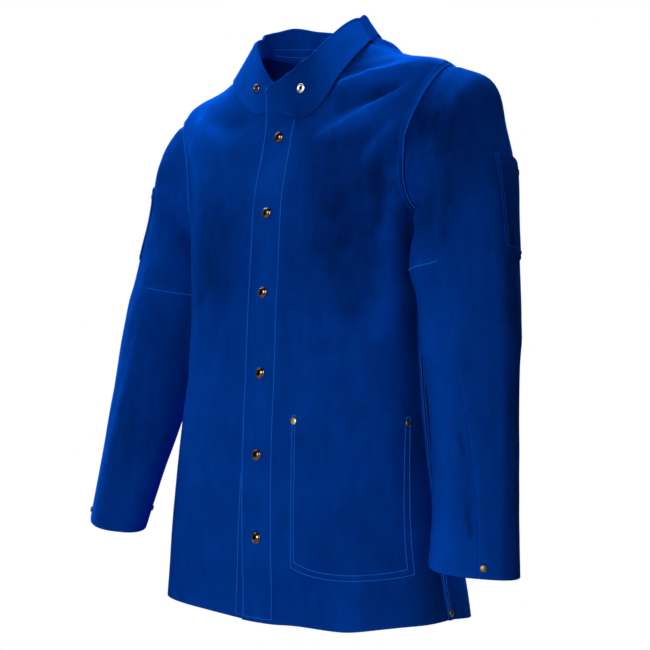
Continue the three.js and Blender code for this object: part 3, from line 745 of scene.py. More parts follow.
def woven_tape(name, light, dark):
    """Plain tape: threads over and under, as two crossed waves."""
    f = Finish(name, Specular_IOR_Level=0.15)
    cloth = f.wave("X", f.place, 420.0) * f.wave("Z", f.place, 420.0)
    return f.set(Base_Color=f.mix(cloth, dark, light), Roughness=0.8 + 0.12 * cloth,
                 Normal=f.bump(cloth, 0.0002, 0.5))


blue = suede("blue_suede", (0.0002, 0.010, 0.085, 1), (0.0009, 0.094, 0.70, 1), 0.35)
inside = suede("blue_inside", (0.0001, 0.006, 0.05, 1), (0.0006, 0.055, 0.42, 1), 0.55)
bright_thread = sewing_thread("bright_blue_thread", (0.022, 0.29, 1.0, 1), (0.012, 0.2, 0.95, 1))
# A darker copy of the same blue thread, painted shade for rows that lie in shade
shaded_thread = sewing_thread("shaded_blue_thread", (0.001, 0.1, 0.62, 1), (0.001, 0.07, 0.45, 1))
snap_metal = metal("dark_brass", (0.068, 0.046, 0.032, 1), (0.018, 0.008, 0.005, 1), 0.05, 0.2)
# A lighter copy of the rivets' brass, painted light for the front pocket rivet
lit_metal = metal("lit_brass", (0.34, 0.26, 0.11, 1), (0.20, 0.145, 0.055, 1), 0.3, 0.3)
dull_metal = metal("dull_brass", (0.055, 0.042, 0.02, 1), (0.028, 0.019, 0.009, 1), 0.34, 0.3)
nickel = metal("nickel", (0.62, 0.62, 0.60, 1), (0.34, 0.33, 0.31, 1), 0.16, 0.3)
tape = woven_tape("label_tape", (0.035, 0.15, 0.55, 1), (0.008, 0.05, 0.3, 1))

# Panels of the body: more grid rows beside the hem and through the armhole
FRONT_STEPS = 64
BACK_STEPS = 104
hem_rows = EDGE_STEPS / BODY_PITCH
armhole_rows = ARMHOLE_ROW - np.cos(np.linspace(0, math.pi, 64))
body_rows = np.concatenate([
    hem_rows, np.linspace(hem_rows[-1], UNDERARM_ROW, 104)[1:-1], armhole_rows,
    np.linspace(SHOULDER_ROW, NECK_ROW, 42)[1:],
])


def panel(name, node, turns, lapped=False, back=False):
    """Front or back of the body on a grid of turns; its inner face has no sewn relief."""
    rows = np.broadcast_to(body_rows[:, None], turns.shape)
    lift = lap_lift(turns, rows) if lapped else 0.0
    relief, calm = seam_lift(turns, rows, back)
    outer, inner = shell(turns, rows, lift, relief, calm), shell(turns, rows, lift - LEATHER, 0.0, calm)
    # The panel carries the body's painted light and shade
    leather(name, outer, inner, [blue, inside], node,
            body_shading(turns, rows))


lap, edge = lap_turn(body_rows), side_edge(body_rows, 1)
front = ruled(-lap, edge, turn_scale(-lap, body_rows), turn_scale(edge, body_rows), FRONT_STEPS)
panel("front_left_leather", "front_panel_left", front, lapped=True)
panel("front_right_leather", "front_panel_right", -front[:, ::-1])
edge = side_edge(body_rows, -1)
scale = turn_scale(edge, body_rows)
panel("back_leather", "back_panel", ruled(edge, 360 - edge, scale, scale, BACK_STEPS), back=True)

# Facings inside both front edges, and the bag of the inside pocket
FACING_END = 0.3
FACING_STEPS = 10
FRONT_MIDDLE = 64
POCKET_ROWS = (0.38, 1.4)
POCKET_SWELL = 4
POCKET_STEPS = 48


def lined(name, node, turns, rows, lift):
    """Thin leather under a front; the lift is that of the front's outer face."""
    under = lift - LEATHER - LAYER
    outer, inner = shell(turns, rows, under), shell(turns, rows, under - LINING)
    leather(name, outer, inner, [inside], node)


facing_rows = body_rows[body_rows < NECK_ROW - FACING_END]
lap = lap_turn(facing_rows)
scale = turn_scale(lap, facing_rows)
facing = ruled(-lap, lap, scale, scale, FACING_STEPS)
rows = np.broadcast_to(facing_rows[:, None], facing.shape)
for side, lift in (("left", lap_lift(facing, rows)), ("right", 0.0)):
    lined(f"facing_{side}_leather", f"front_facing_{side}", facing, rows, lift)


def pocket_turn(row, share):
    """Turn at a share of the inside pocket's width, from its front seam to its side seam."""
    lap = lap_turn(row)
    front = lap + (FRONT_MIDDLE - lap) / 3
    side = FRONT_MIDDLE + (side_edge(row, 1) - FRONT_MIDDLE) * 2 / 3
    return front + (side - front) * share


share = np.linspace(0, 1, POCKET_STEPS)
rows = np.linspace(*POCKET_ROWS, POCKET_STEPS)[:, None]
bag = pocket_turn(rows, share)
rows = np.broadcast_to(rows, bag.shape)
puff = POCKET_SWELL * np.sin(math.pi * share) * np.sin(math.pi * share)[:, None]
lined("inner_pocket_leather", "inner_pocket", bag, rows, lap_lift(bag, rows) - puff)

# Sleeves: more grid rows beside the armhole and the cuff
SLEEVE_STEPS = 56
UNDER_STEPS = 30
seam_half = np.degrees(SEAM / 2 / SLEEVE_RADIUS)
cuff_rows = CUFF_ROW - EDGE_STEPS[::-1] / SLEEVE_PITCH
sleeve_rows = np.concatenate([
    np.linspace(-1, -0.7, 14), np.linspace(-0.7, cuff_rows[0], 128)[1:-1], cuff_rows,
])

# Painted light and shade on the sleeves: the cap's painted shade, amounts by zone, and where the inner side's
# zone starts and ends
CAP_SHADES = table("row rows turn turns share", [(1.0, 2.4, 72, 42, 1.0), (3.4, 1.0, 104, 30, 0.5)])
SLEEVE_SHADING = {
    "left": {
        "cap": -0.45, "behind": -0.24, "front": 0.14, "inner": -0.3,
        "inner_turns": (138, 150), "inner_rows": (6.3, 6.9),
    },
    "right": {
        "cap": 0.0, "behind": 0.06, "front": -0.14, "inner": -0.09,
        "inner_turns": (136, 160), "inner_rows": (7.2, 8.4),
    },
}
INNER_TURNS = (185, 215)
INNER_ROWS = (4.2, 4.8)
BEHIND_TURNS = (-26, -10, 150, 175)
BEHIND_ROWS = (2.5, 4)
FRONT_TURN, FRONT_WIDTH = 112, 34
FRONT_ROWS = (4, 5)
NARROW_PUCKER = 3
PUCKER_SHADE = 0.26
CUFF_TONE = 0.14
CUFF_TONE_ROWS = (6.3, 8)


def sleeve_shading(psi, row, side):
    """Painted light and shade on a sleeve: 0.5 and the zones' amounts, painted shade in narrow puckers, paler
    at the cuff.
    """
    turn = (psi + 180) % 360 - 180
    painted_shading = SLEEVE_SHADING[side]
    cap = sum(f * bell(row - r, h) * bell(turn - t, w) for r, h, t, w, f in zip(*CAP_SHADES.values()))
    inner = smooth(psi % 360, *painted_shading["inner_turns"]) * (1 - smooth(psi % 360, *INNER_TURNS))
    inner = inner * smooth(row, *INNER_ROWS) * (1 - smooth(row, *painted_shading["inner_rows"]))
    behind = smooth(-turn, *BEHIND_TURNS[:2]) * (1 - smooth(-turn, *BEHIND_TURNS[2:]))
    behind = behind * smooth(row, *BEHIND_ROWS)
    front = bell(turn - FRONT_TURN, FRONT_WIDTH) * smooth(row, *FRONT_ROWS)
    tone = 0.5 + painted_shading["cap"] * cap + painted_shading["behind"] * behind + painted_shading["front"] * front + painted_shading["inner"] * inner
    p = sleeve(psi, row, side)
    for *ends, _, width in WRINKLES[side]:
        if width <= NARROW_PUCKER:
            tone = tone - PUCKER_SHADE * bell(nearest(p, wrinkle_line(ends, side)), width)
    return tone + CUFF_TONE * smooth(row, *CUFF_TONE_ROWS)


def sleeve_grid(rows, start, end, side, steps):
    """Outer face, inner face and painted light and shade of a sleeve piece between two seams, given in
    degrees for each row.
    """
    surface = partial(sleeve, side=side)
    scales = [np.linalg.norm(slopes(surface, seam, rows)[0], axis=-1) for seam in (start, end)]
    psi = ruled(start, end, *np.maximum(scales, LEAST_SCALE), steps)
    grid = np.broadcast_to(rows[:, None], psi.shape)
    outer = sleeve_face(psi, grid, side)
    return outer, outer - sleeve_normal(psi, grid, side) * LEATHER, sleeve_shading(psi, grid, side)


ROWS_CLEAR = {"upper": 0.04, "lower": 0.06}
join = SLEEVE_JOIN + SEAM / SLEEVE_PITCH
join_steps = EDGE_STEPS[:6] / SLEEVE_PITCH
above = sleeve_rows[sleeve_rows < SLEEVE_JOIN - ROWS_CLEAR["upper"]]
below = sleeve_rows[sleeve_rows > join + ROWS_CLEAR["lower"]]
under_rows = {
    "upper": np.concatenate([above, SLEEVE_JOIN - join_steps[::-1]]),
    "lower": np.concatenate([join + join_steps, below]),
}
for side in SIDES:
    seam = front_seam(sleeve_rows, side)
    back = np.full_like(seam, BACK_SEAM)
    outer, inner, painted_shading = sleeve_grid(sleeve_rows, back + seam_half, seam - seam_half, side, SLEEVE_STEPS)
    leather(f"top_sleeve_{side}_leather", outer, inner, [blue, inside], f"top_sleeve_{side}",
            painted_shading)
    for part, rows in under_rows.items():
        seam = front_seam(rows, side)
        back = np.full_like(seam, 360 + BACK_SEAM - seam_half)
        outer, inner, painted_shading = sleeve_grid(rows, seam + seam_half, back, side, UNDER_STEPS)
        leather(f"under_sleeve_{part}_{side}_leather", outer, inner, [blue, inside],
                f"under_sleeve_{part}_{side}", painted_shading)

# Patch pockets on the upper arms: open at the top, sewn on three sides
POCKET_SHARE = {"left": (2 / 11, 7 / 11), "right": (4 / 11, 9 / 11)}
POCKET_RUN = {"left": (2.75, 4.3), "right": (2.1, 3.9)}
POCKET_LIFT = LAYER + LINING
POCKET_SLACK = 2.2
POCKET_SLACK_RUN = 0.75


def patch(share, run, side):
    """Degrees and row at a share of a sleeve pocket's width and height, from its back edge and its top."""
    (low, high), (top, foot) = POCKET_SHARE[side], POCKET_RUN[side]
    row = top + (foot - top) * run
    start, end = BACK_SEAM + seam_half, front_seam(row, side) - seam_half
    return start + (end - start) * (low + (high - low) * share), row


def patch_lift(share, run):
    """Height over the sleeve: flat at the sewn edges, a little open at the top."""
    slack = np.sin(math.pi * np.clip(share, 0, 1)) * (1 - smooth(run, 0.0, POCKET_SLACK_RUN))
    return POCKET_LIFT + POCKET_SLACK * slack


fine = np.concatenate([[0, 0.008, 0.02, 0.04], np.linspace(0.07, 0.93, 40), [0.96, 0.98, 0.992, 1]])
share, run = np.meshgrid(fine, fine)
lift = patch_lift(share, run)
for side in SIDES:
    psi, row = patch(share, run, side)
    outer, inner = (sleeve_face(psi, row, side, height) for height in (lift, lift - LINING))
    leather(f"sleeve_pocket_{side}_leather", outer, inner, [blue, inside], f"sleeve_pocket_{side}",
            sleeve_shading(psi, row, side))

# Collar
STAND_STEPS = 9
ROLL_STEPS = 11
LEAF_STEPS = 26
# Painted light and shade along the collar: turn, width in degrees, how much lighter or darker
COLLAR_SHADING = table("turn width amount", [(92, 34, 0.5), (28, 22, -0.2), (180, 50, 0.2), (312, 18, 0.25)])
COLLAR_WEAR = 0.3
NECK_EDGE_ROW = 6.9


def collar_column(name, turn):
    """Column of the collar's table at a turn, as a curve through its values."""
    k = np.clip(np.searchsorted(COLLAR["turn"], turn) - 1, 0, len(COLLAR["turn"]) - 2)
    a, b = COLLAR["turn"][k], COLLAR["turn"][k + 1]
    return along(COLLAR[name], k + (turn - a) / (b - a))


def collar_face(turn, stand_steps, roll_steps, leaf_steps):
    """Visible face of the collar: up the stand, half round the fold, then straight to the leaf's edge and not
    lower than a rest height over the body, which is less at both front corners."""
    columns = ("stand", "lean", "edge_turn", "edge_row")
    stand, lean, edge_turn, edge_row = (collar_column(name, turn)[:, None] for name in columns)
    lap = np.where(turn < 180, lap_lift(turn, np.full_like(turn, NECK_ROW)), 0)
    foot = (shell(turn, np.full_like(turn, NECK_ROW), lap) + UP * SEAM)[:, None]
    out = unit(foot * np.array([1, 1, 0]))
    roll = np.minimum(COLLAR_ROLL, stand * ROLL_SHARE)

    def place(outwards, upwards):
        return foot + out * outwards[..., None] + UP * upwards[..., None]

    share = np.linspace(0, 1, stand_steps)[None]
    rise = place(lean * share - LEATHER, (stand - roll) * share)
    angle = np.linspace(math.pi, 0, roll_steps)[None, 1:]
    bend = place(lean - LEATHER + roll * (1 + np.cos(angle)), stand - roll + roll * np.sin(angle))
    start = bend[:, -1:]
    t = np.linspace(0, 1, leaf_steps)[None, 1:]
    turns = turn[:, None] + (edge_turn - turn[:, None]) * t
    rows = NECK_ROW + (edge_row - NECK_ROW) * t
    ground = shell(turns, rows, np.where(turns < 180, lap_lift(turns, rows), 0.0))
    normal = body_normal(turns, rows)
    lip = smooth(turn, *COLLAR_LIP)[:, None, None]
    loose = smooth(turn, *COLLAR_LOOSE[:2]) * (1 - smooth(turn, *COLLAR_LOOSE[2:]))
    rest = (LEATHER + COLLAR_GAP * (CORNER_GAP_SHARE + (1 - CORNER_GAP_SHARE) * loose))[:, None]
    tip = (ground[:, -1:] + normal[:, -1:] * rest[..., None]) * (1 - lip) + (start - UP * LIP_DROP) * lip
    leaf = start + (tip - start) * t[..., None]
    short = rest - dot(leaf - ground, normal)
    lifted = (short + np.sqrt(short * short + COLLAR_SOFTNESS)) / 2
    leaf = leaf + normal * (lifted * (1 - lip[..., 0]))[..., None]
    return np.concatenate([rise, bend, leaf], 1)


def grid_normal(grid):
    """Unit normals of a grid of points, from the steps along its two directions."""
    return unit(np.cross(np.gradient(grid, axis=0), np.gradient(grid, axis=1)))


neck_lap = float(lap_turn(np.array(float(NECK_ROW))))
neck_edges = EDGE_STEPS[:8] / turn_scale(np.array(0.0), np.array(NECK_EDGE_ROW))
first_turns, last_turns = -neck_lap + neck_edges, 360 + neck_lap - neck_edges[::-1]
middle_turns = np.linspace(first_turns[-1], last_turns[0], 250)[1:-1]
collar_turns = np.concatenate([first_turns, middle_turns, last_turns])
collar_points = collar_face(collar_turns, STAND_STEPS, ROLL_STEPS, LEAF_STEPS)
collar_under = collar_points + grid_normal(collar_points) * LEATHER
# Painted light and shade on the collar's turned-down leaf
collar_shading = sum(a * bell(collar_turns - t, w) for t, w, a in zip(*COLLAR_SHADING.values()))
turned_down = smooth(np.arange(collar_points.shape[1]), STAND_STEPS - 1, STAND_STEPS + 5)
leather("collar_leather", collar_points, collar_under, [blue], "collar",
        0.5 + collar_shading[:, None] * turned_down, COLLAR_WEAR)

# Plain label inside the back of the neck
LABEL_TURNS = (190, 230)
LABEL_TAPE = 0.7
LABEL_TOP = 3
LABEL_DROP = 18
LABEL_SWELL = 0.8
turn = np.linspace(*LABEL_TURNS, 24)
foot = shell(turn, np.full_like(turn, NECK_ROW))
out = unit(foot * np.array([1, 1, 0]))
drop = np.linspace(0, 1, 14)[None, :, None]
label = (foot - out * (LEATHER + LABEL_TAPE) + UP * LABEL_TOP)[:, None] - UP * LABEL_DROP * drop
label = label - out[:, None] * LABEL_SWELL * np.sin(math.pi * drop)
leather("neck_label_tape", label, label - grid_normal(label) * LABEL_TAPE, [tape], "neck_label")

# Stitching: short threads with sunk ends along lines in the leather
STITCH_PITCH = 3.3
STITCH_SHARE = 0.86
THREAD_RADIUS = 0.66
THREAD_RISE = 0.36
END_THIN = 0.8
END_SINK = 0.75
TANGENT_STEP = 0.6
SIDES_ROUND = 6
RINGS = np.array([-1, -0.72, 0, 0.72, 1.0])


def read(values, length, at):
    """Values of a line's points at distances along it."""
    return np.stack([np.interp(at, length, values[:, k]) for k in range(3)], -1)


def sew(name, lines, finish):
    """Stitches along lines of points and normals: each is an arch of rings between two sunk ends."""
    centres, tangents, normals = [], [], []
    for points, normal in lines:
        length = np.concatenate([[0], np.cumsum(np.linalg.norm(np.diff(points, axis=0), axis=-1))])
        count = max(2, int(length[-1] / STITCH_PITCH))
        at = (np.arange(count) + 0.5) * length[-1] / count
        ahead, behind = (read(points, length, at + step) for step in (TANGENT_STEP, -TANGENT_STEP))
        centres.append(read(points, length, at))
        tangents.append(unit(ahead - behind))
        normals.append(unit(read(normal, length, at)))
    centre, tangent, normal = (np.concatenate(x)[:, None, None] for x in (centres, tangents, normals))
    across = np.cross(normal, tangent)
    half = STITCH_PITCH * STITCH_SHARE / 2
    ring = RINGS[None, :, None, None]
    angle = (np.arange(SIDES_ROUND) * 2 * math.pi / SIDES_ROUND)[None, None, :, None]
    radius = THREAD_RADIUS * np.sqrt(1 - END_THIN * ring * ring)
    height = THREAD_RISE - END_SINK * ring ** 4
    points = centre + tangent * half * ring + normal * (height + radius * np.sin(angle))
    points = points + across * radius * np.cos(angle)
    count = len(points)
    size = len(RINGS) * SIDES_ROUND
    number = np.arange(size).reshape(len(RINGS), SIDES_ROUND)
    around = np.roll(number, -1, axis=1)
    one = np.stack([number[:-1], around[:-1], around[1:], number[1:]], -1).reshape(-1, 4)
    ends = np.array([[0, 3, 2, 1], [0, 5, 4, 3]])
    last = size - SIDES_ROUND
    caps = np.concatenate([ends, last + ends[:, ::-1]])
    faces = (np.concatenate([one, caps])[None] + size * np.arange(count)[:, None, None]).reshape(-1, 4)
    spread = np.broadcast_to(np.arange(SIDES_ROUND) / SIDES_ROUND, (len(RINGS), SIDES_ROUND))
    run = np.broadcast_to(RINGS[:, None], (len(RINGS), SIDES_ROUND))
    uv = np.tile(np.stack([run, spread], -1).reshape(-1, 2), (count, 1))
    write_mesh(name, points.reshape(-1, 3), [faces], [finish], uv=uv)


def beside(turn, row, away):
    """Path moved sideways on the body, to the left of its run seen from outside: the step is shared between
    turn and row so that it is square to the path and as long as asked."""
    by_turn, by_row = slopes(body, turn, row)
    left = np.cross(body_normal(turn, row), unit(np.gradient(body(turn, row), axis=0)))
    tt, tr, rr = dot(by_turn, by_turn), dot(by_turn, by_row), dot(by_row, by_row)
    on_turn, on_row = dot(by_turn, left), dot(by_row, left)
    size = tt * rr - tr * tr
    return turn + away * (on_turn * rr - on_row * tr) / size, row + away * (on_row * tt - on_turn * tr) / size


def on_body(turn, row, left=False, back=False):
    """Points and normals of a line on a body panel's outer face."""
    relief, calm = seam_lift(turn, row, back)
    lift = lap_lift(turn, row) if left else 0.0
    return shell(turn, row, lift, relief, calm), body_normal(turn, row)


def on_sleeve(psi, row, side, lift=0.0):
    """Points and normals of a line on a sleeve's outer face."""
    return sleeve_face(psi, row, side, lift), sleeve_normal(psi, row, side)


def row_at(z):
    """Body row at which the centre front reaches a height."""
    rows = np.linspace(0, NECK_ROW, 2000)
    return np.interp(z, along(BODY["front_z"], rows), rows)


# Lap: a row along each side, one along its hem, and the facing's row that splays out towards the hem
LAP_ROW = 23.5
LAP_ROWS = (0.026, 6.86)
LAP_HEM_ROW = 0.028
LAP_SPREAD = 3
LAP_SPREAD_ROWS = (5.2, 6)
SPLAY_TOP = -555
SPLAY_ROW = 0.03
SPLAY_OFFSETS = (-28.5, -40.0)
SPLAY_FOOT = -27.5


def lap_line(row, offset, left=True):
    """Line on a front at millimetres from the centre front."""
    row, offset = np.broadcast_arrays(np.asarray(row, float), np.asarray(offset, float))
    return on_body(lap_turn(row, offset), row, left=left)


rows = np.linspace(*LAP_ROWS, 420)
splay = np.linspace(float(row_at(SPLAY_TOP)), SPLAY_ROW, 80)
sew("placket_stitching", [
    lap_line(rows, -LAP_ROW),
    lap_line(rows, LAP_ROW + LAP_SPREAD * smooth(rows, *LAP_SPREAD_ROWS)),
    lap_line(LAP_HEM_ROW, np.linspace(-LAP_ROW, LAP_ROW, 40)),
    lap_line(splay, np.linspace(*SPLAY_OFFSETS, 80), left=False),
    lap_line(SPLAY_ROW, np.linspace(SPLAY_OFFSETS[1], SPLAY_FOOT, 14), left=False),
], bright_thread)

# Inside pocket's seam seen on the front: two rows in a U, closed over each rivet
POCKET_WIDE = 152
POCKET_ROW_GAP = 6.4
POCKET_ABOVE = 6.5
POCKET_TOP = POCKET_ROWS[1] + POCKET_ABOVE / BODY_PITCH
FRONT_OFFSETS = (-3.2, -2)
SIDE_OFFSETS = (4.5, -15)
FOOT_SAG = (4, -42, 39)


def pocket_line(across, row):
    """Line on the left front at millimetres across the pocket, measured from its front edge."""
    across, row = np.broadcast_arrays(np.asarray(across, float), np.asarray(row, float))
    return on_body(pocket_turn(row, across / POCKET_WIDE), row, left=True)


def pocket_front(fall):
    """Millimetres by which the front line is set off; fall is 0 at the rivet and 1 at the foot."""
    return FRONT_OFFSETS[0] + FRONT_OFFSETS[1] * fall


def pocket_side(fall):
    """Millimetres at which the side line lies: it draws in below the rivet."""
    return POCKET_WIDE + SIDE_OFFSETS[0] + SIDE_OFFSETS[1] * fall * (2 - fall)


def pocket_foot(share):
    """Body row of the foot line, which sags in its middle: a square curve of the share of its width."""
    return POCKET_ROWS[0] + (FOOT_SAG[0] + FOOT_SAG[1] * share + FOOT_SAG[2] * share * share) / BODY_PITCH


lines = []
fall = np.linspace(0, 1, 90)
for inset in (0.0, POCKET_ROW_GAP):
    for edge, share in ((pocket_front(fall) + inset, 0.0), (pocket_side(fall) - inset, 1.0)):
        foot_row = pocket_foot(share) + inset / BODY_PITCH
        lines.append(pocket_line(edge, POCKET_TOP + (foot_row - POCKET_TOP) * fall))
    across = np.linspace(pocket_front(1.0) + inset, pocket_side(1.0) - inset, 90)
    lines.append(pocket_line(across, pocket_foot(fall) + inset / BODY_PITCH))
for start in (pocket_front(0.0), pocket_side(0.0) - POCKET_ROW_GAP):
    lines.append(pocket_line(np.linspace(start, start + POCKET_ROW_GAP, 12), POCKET_TOP))
sew("pocket_stitching", lines, bright_thread)

# Armholes, shoulders and sides: two rows on the ridge beside the seam
ROW_THREADS = {2.0: bright_thread, 6.8: shaded_thread}
SIDE_ROWS = (0.03, 2.86)
SHOULDER_ROWS = (5.1, 6.85)
psi = np.linspace(3, 357, 420)
back = np.sin(np.radians(psi)) <= 0
ring = armhole_path(psi)
for side, sign in SIDES.items():
    side_lines = []
    for inset, finish in ROW_THREADS.items():
        turn, row = beside(*ring, -inset)
        turn = sign * turn
        arm_lines = [on_body(turn[~back], row[~back]), on_body(turn[back], row[back], back=True)]
        for lines, ends in ((side_lines, SIDE_ROWS), (arm_lines, SHOULDER_ROWS)):
            rows = np.linspace(*ends, 160)
            turn = 90 + inset / turn_scale(np.full_like(rows, 90.0), rows)
            lines.append(on_body(sign * turn, rows, back=True))
        sew(f"armhole_stitching_{side}_{inset:.0f}", arm_lines, finish)
    sew(f"side_stitching_{side}", side_lines, bright_thread)

# Sleeves: cross seam of the under sleeve, then three sewn sides and the top hem of the patch pocket
CROSS_ENDS = (3, 240)
CROSS_INSET = 0.03
PATCH_LOW, PATCH_HIGH = 0.04, 0.96
PATCH_TOP = 0.01
PATCH_HEM = 0.1
PATCH_LINES = np.array([
    [(PATCH_LOW, PATCH_TOP), (PATCH_LOW, PATCH_HIGH)],
    [(PATCH_LOW, PATCH_HIGH), (PATCH_HIGH, PATCH_HIGH)],
    [(PATCH_HIGH, PATCH_HIGH), (PATCH_HIGH, PATCH_TOP)],
    [(PATCH_LOW / 2, PATCH_HEM), (1 - PATCH_LOW / 2, PATCH_HEM)],
])
for side in SIDES:
    psi = np.linspace(float(front_seam(SLEEVE_JOIN, side)) + CROSS_ENDS[0], CROSS_ENDS[1], 60)
    cross = on_sleeve(psi, np.full_like(psi, SLEEVE_JOIN + CROSS_INSET), side)
    sew(f"sleeve_seam_stitching_{side}", [cross], bright_thread)
    lines = []
    for start, end in PATCH_LINES:
        share, run = np.linspace(start, end, 60).T
        psi, row = patch(share, run, side)
        lines.append(on_sleeve(psi, row, side, patch_lift(share, run)))
    sew(f"sleeve_pocket_stitching_{side}", lines, shaded_thread)

# Two rows of the neck seam inside the stand, behind the neck, and one row at the leaf's left end
NECK_SEAM_TURNS = (95, 258)
collar_normals = -grid_normal(collar_points)
behind = (collar_turns > NECK_SEAM_TURNS[0]) & (collar_turns < NECK_SEAM_TURNS[1])
places = [(behind, 1), (behind, 3), (5, slice(STAND_STEPS, -2))]
sew("collar_stitching", [(collar_points[place], collar_normals[place]) for place in places], bright_thread)

# Metal: profiles as radius and height, turned round the leather's normal
TURNED_SIDES = 40
METAL_GAP = 0.45
SNAP_CAP = np.array([
    (0, -0.4), (6.6, -0.4), (7.2, -0.1), (7.4, 0.4), (7.3, 0.95), (6.9, 1.3), (6.5, 1.38), (6.25, 1.6),
    (5.9, 2.2), (5.2, 3.0), (4.2, 3.65), (2.9, 4.05), (1.5, 4.22), (0, 4.27),
])
RIVET_HEAD = np.array([
    (0, -0.4), (3.8, -0.4), (4.15, 0), (4.2, 0.5), (4.0, 1.0), (3.5, 1.35), (3.0, 1.42), (2.6, 1.5),
    (1.4, 1.75), (0, 1.85),
])
EYELET = np.array([
    (2.6, 0.2), (2.75, -0.3), (6.0, -0.3), (6.4, 0.15), (6.2, 0.9), (5.5, 1.6), (4.6, 1.95), (3.7, 1.8),
    (2.95, 1.25), (2.6, 0.6),
])
SOCKET_CORE = np.array([(0, -0.3), (2.55, -0.3), (2.55, 0.5), (2.2, 0.85), (1.5, 0.95), (1.1, 0.7), (0, 0.6)])


def turned(name, profile, seat, normal, finish, slot, node=None):
    """Round piece: each profile point swept round the normal; a point on the axis closes into a fan."""
    normal = unit(np.asarray(normal, float))
    across = unit(np.cross(normal, UP if abs(normal[2]) < 0.9 else np.array([1.0, 0, 0])))
    over = np.cross(normal, across)
    angle = np.arange(TURNED_SIDES) * 2 * math.pi / TURNED_SIDES
    ring = across * np.cos(angle)[:, None] + over * np.sin(angle)[:, None]
    points = seat + profile[:, None, :1] * ring + (profile[:, 1] + METAL_GAP)[:, None, None] * normal
    number = np.arange(points.shape[0] * TURNED_SIDES).reshape(-1, TURNED_SIDES)
    around = np.roll(number, -1, axis=1)
    quads = np.stack([number[:-1], around[:-1], around[1:], number[1:]], -1)
    points = points.reshape(-1, 3)
    if profile[0, 0] > 0:
        closing = np.stack([number[-1], around[-1], around[0], number[0]], -1)
        faces = [quads.reshape(-1, 4), closing]
    else:
        first, last = len(points), len(points) + 1
        points = np.concatenate([points, [seat + normal * (profile[k, 1] + METAL_GAP) for k in (0, -1)]])
        fan = np.full(TURNED_SIDES, first), np.full(TURNED_SIDES, last)
        faces = [quads[1:-1].reshape(-1, 4), np.stack([fan[0], around[1], number[1]], -1),
                 np.stack([fan[1], number[-2], around[-2]], -1)]
        used = np.unique(np.concatenate([f.ravel() for f in faces]))
        renumber = np.zeros(len(points), int)
        renumber[used] = np.arange(len(used))
        points, faces = points[used], [renumber[f] for f in faces]
    piece = write_mesh(name, points, faces, [finish])
    if node:
        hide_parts(node)


def seat_on(points, normals):
    """First point and normal of a line."""
    return points[0], normals[0]


SNAPS = 6
SNAP_TOP = -129
SNAP_PITCH = 102.4
HEM_RIVET_TURN = 91.4
HEM_RIVET_ROW = {"left": 0.045, "right": 0.08}
CUFF_FASTENERS = {"cap": (45.0, 12), "stud": (219.0, 26)}
for k in range(SNAPS):
    row = np.array([float(row_at(SNAP_TOP - k * SNAP_PITCH))])
    seat = seat_on(*on_body(np.zeros(1), row, left=True))
    turned(f"snap_cap_{k + 1}_metal", SNAP_CAP, *seat, snap_metal, "dark_brass", f"snap_cap_{k + 1}")
for corner, share, finish in (("front", 0.0, lit_metal), ("side", 1.0, dull_metal)):
    row = np.array([POCKET_ROWS[1]])
    seat = seat_on(*on_body(pocket_turn(row, np.array([share])), row, left=True))
    turned(f"pocket_rivet_{corner}_metal", RIVET_HEAD, *seat, finish, "dark_brass", f"pocket_rivet_{corner}")
for side, sign in SIDES.items():
    seat = seat_on(*on_body(np.array([sign * HEM_RIVET_TURN]), np.array([HEM_RIVET_ROW[side]]), back=True))
    turned(f"hem_rivet_{side}_metal", RIVET_HEAD, *seat, dull_metal, "dark_brass", f"hem_rivet_{side}")
    drop = SLEEVE[side]["out_z"][-2] - SLEEVE[side]["out_z"][-1]
    for kind, (turn, up) in CUFF_FASTENERS.items():
        seat = seat_on(*on_sleeve(np.array([turn]), np.array([CUFF_ROW - up / drop]), side))
        name = f"cuff_{kind}_{side}"
        turned(f"{name}_metal", RIVET_HEAD, *seat, dull_metal, "dark_brass", name)


def on_collar(node):
    """Point and outward normal of the collar's face nearest to a node's middle."""
    middle = np.mean(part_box(node), axis=0) / MM
    gap = np.linalg.norm(collar_points - middle, axis=-1)
    k = np.unravel_index(gap.argmin(), gap.shape)
    return collar_points[k], collar_normals[k]


turned("collar_socket_metal", EYELET, *on_collar("collar_socket"), nickel, "nickel", "collar_socket")
turned("collar_socket_core_metal", SOCKET_CORE, *on_collar("collar_socket"), snap_metal, "dark_brass")
turned("collar_stud_metal", EYELET, *on_collar("collar_stud"), snap_metal, "dark_brass", "collar_stud")

# Studio: pale floor far below the hem, white surroundings that only the camera sees, and soft lights
FLOOR_Z = -1.45
FLOOR_RADIUS = 2.5
FLOOR_SIDES = 96


def floor_finish():
    """Plain pale floor with a faint mottle."""
    f = Finish("pale_floor", Specular_IOR_Level=0.1)
    tone = f.mix(f.noise(1.5, 2.0), (0.86, 0.865, 0.87, 1), (0.9, 0.9, 0.9, 1))
    return f.set(Base_Color=tone, Roughness=0.85 + 0.1 * f.noise(6.0))


around = np.arange(FLOOR_SIDES) * 2 * math.pi / FLOOR_SIDES
disc = np.full((FLOOR_SIDES, 3), FLOOR_Z)
disc[:, 0], disc[:, 1] = FLOOR_RADIUS * np.cos(around), FLOOR_RADIUS * np.sin(around)
floor_mesh = bpy.data.meshes.new("floor")
floor_mesh.from_pydata(disc.tolist(), [], [list(range(FLOOR_SIDES))])
floor_mesh.materials.append(floor_finish())
floor = bpy.data.objects.new("floor", floor_mesh)
bpy.context.scene.collection.objects.link(floor)
floor.visible_diffuse = False
floor.visible_shadow = False

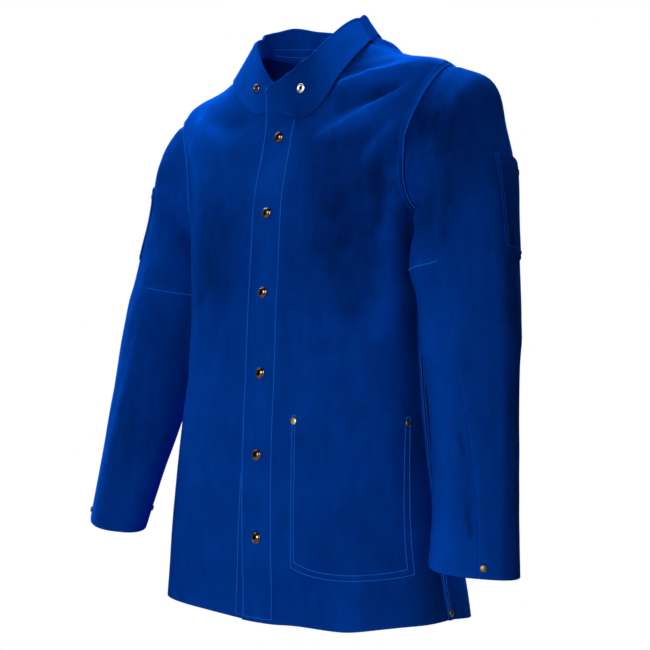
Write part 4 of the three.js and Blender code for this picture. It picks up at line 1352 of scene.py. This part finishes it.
scene = bpy.context.scene
scene.view_settings.view_transform = "Standard"
world = bpy.data.worlds.new("studio")
world.use_nodes = True
background = world.node_tree.nodes["Background"]
background.inputs["Color"].default_value = (1.0, 1.0, 1.0, 1)
background.inputs["Strength"].default_value = 1.0
world.cycles_visibility.diffuse = False
world.cycles_visibility.glossy = False
scene.world = world


def look(azimuth, elevation):
    """Direction from a light to the jacket: azimuth 0 in front of the wearer, 90 at the left hand."""
    a, e = math.radians(azimuth), math.radians(elevation)
    return Vector((-math.sin(a) * math.cos(e), math.cos(a) * math.cos(e), -math.sin(e)))


def aim(thing, direction, place=(0, 0, 0)):
    """Places an object in the scene so that its -Z looks along a direction."""
    thing.rotation_euler = direction.to_track_quat("-Z", "Y").to_euler()
    thing.location = place
    scene.collection.objects.link(thing)
    return thing


# Soft lights: azimuth, elevation, width in degrees, strength; the glint lights only what shines
LIGHTS = {
    "key": (-128, 50, 60, 9.8),
    "level_fill": (14, -12, 60, 1.3),
    "glint": (29, 15, 36, 14),
    "right_fill": (-80, 12, 60, 0.6),
    "top_fill": (-20, 55, 80, 0.3),
    "back_fill": (150, 15, 130, 0.25),
}
for name, (azimuth, elevation, width, strength) in LIGHTS.items():
    light = bpy.data.lights.new(name, "SUN")
    light.energy = strength
    light.angle = math.radians(width)
    lamp = bpy.data.objects.new(name, light)
    lamp.visible_diffuse = name != "glint"
    aim(lamp, look(azimuth, elevation))

# Camera at the photograph's angle
CAMERA_AZIMUTH = 39.0
CAMERA_DISTANCE = 1.480
CAMERA_HEIGHT = -0.470
SENSOR = 36
PHOTO_WIDTH = 650
FOCAL_PIXELS = 1110
SIDE_PIXELS = 15
UP_PIXELS = 75
YAW = math.degrees(math.atan(SIDE_PIXELS / FOCAL_PIXELS))
PITCH = math.degrees(math.atan(UP_PIXELS / FOCAL_PIXELS))
lens = bpy.data.cameras.new("photo")
lens.sensor_width = SENSOR
lens.lens = FOCAL_PIXELS / PHOTO_WIDTH * SENSOR
a = math.radians(CAMERA_AZIMUTH)
camera = aim(bpy.data.objects.new("photo", lens), look(CAMERA_AZIMUTH - YAW, -PITCH),
             (CAMERA_DISTANCE * math.sin(a), -CAMERA_DISTANCE * math.cos(a), CAMERA_HEIGHT))
scene.camera = camera
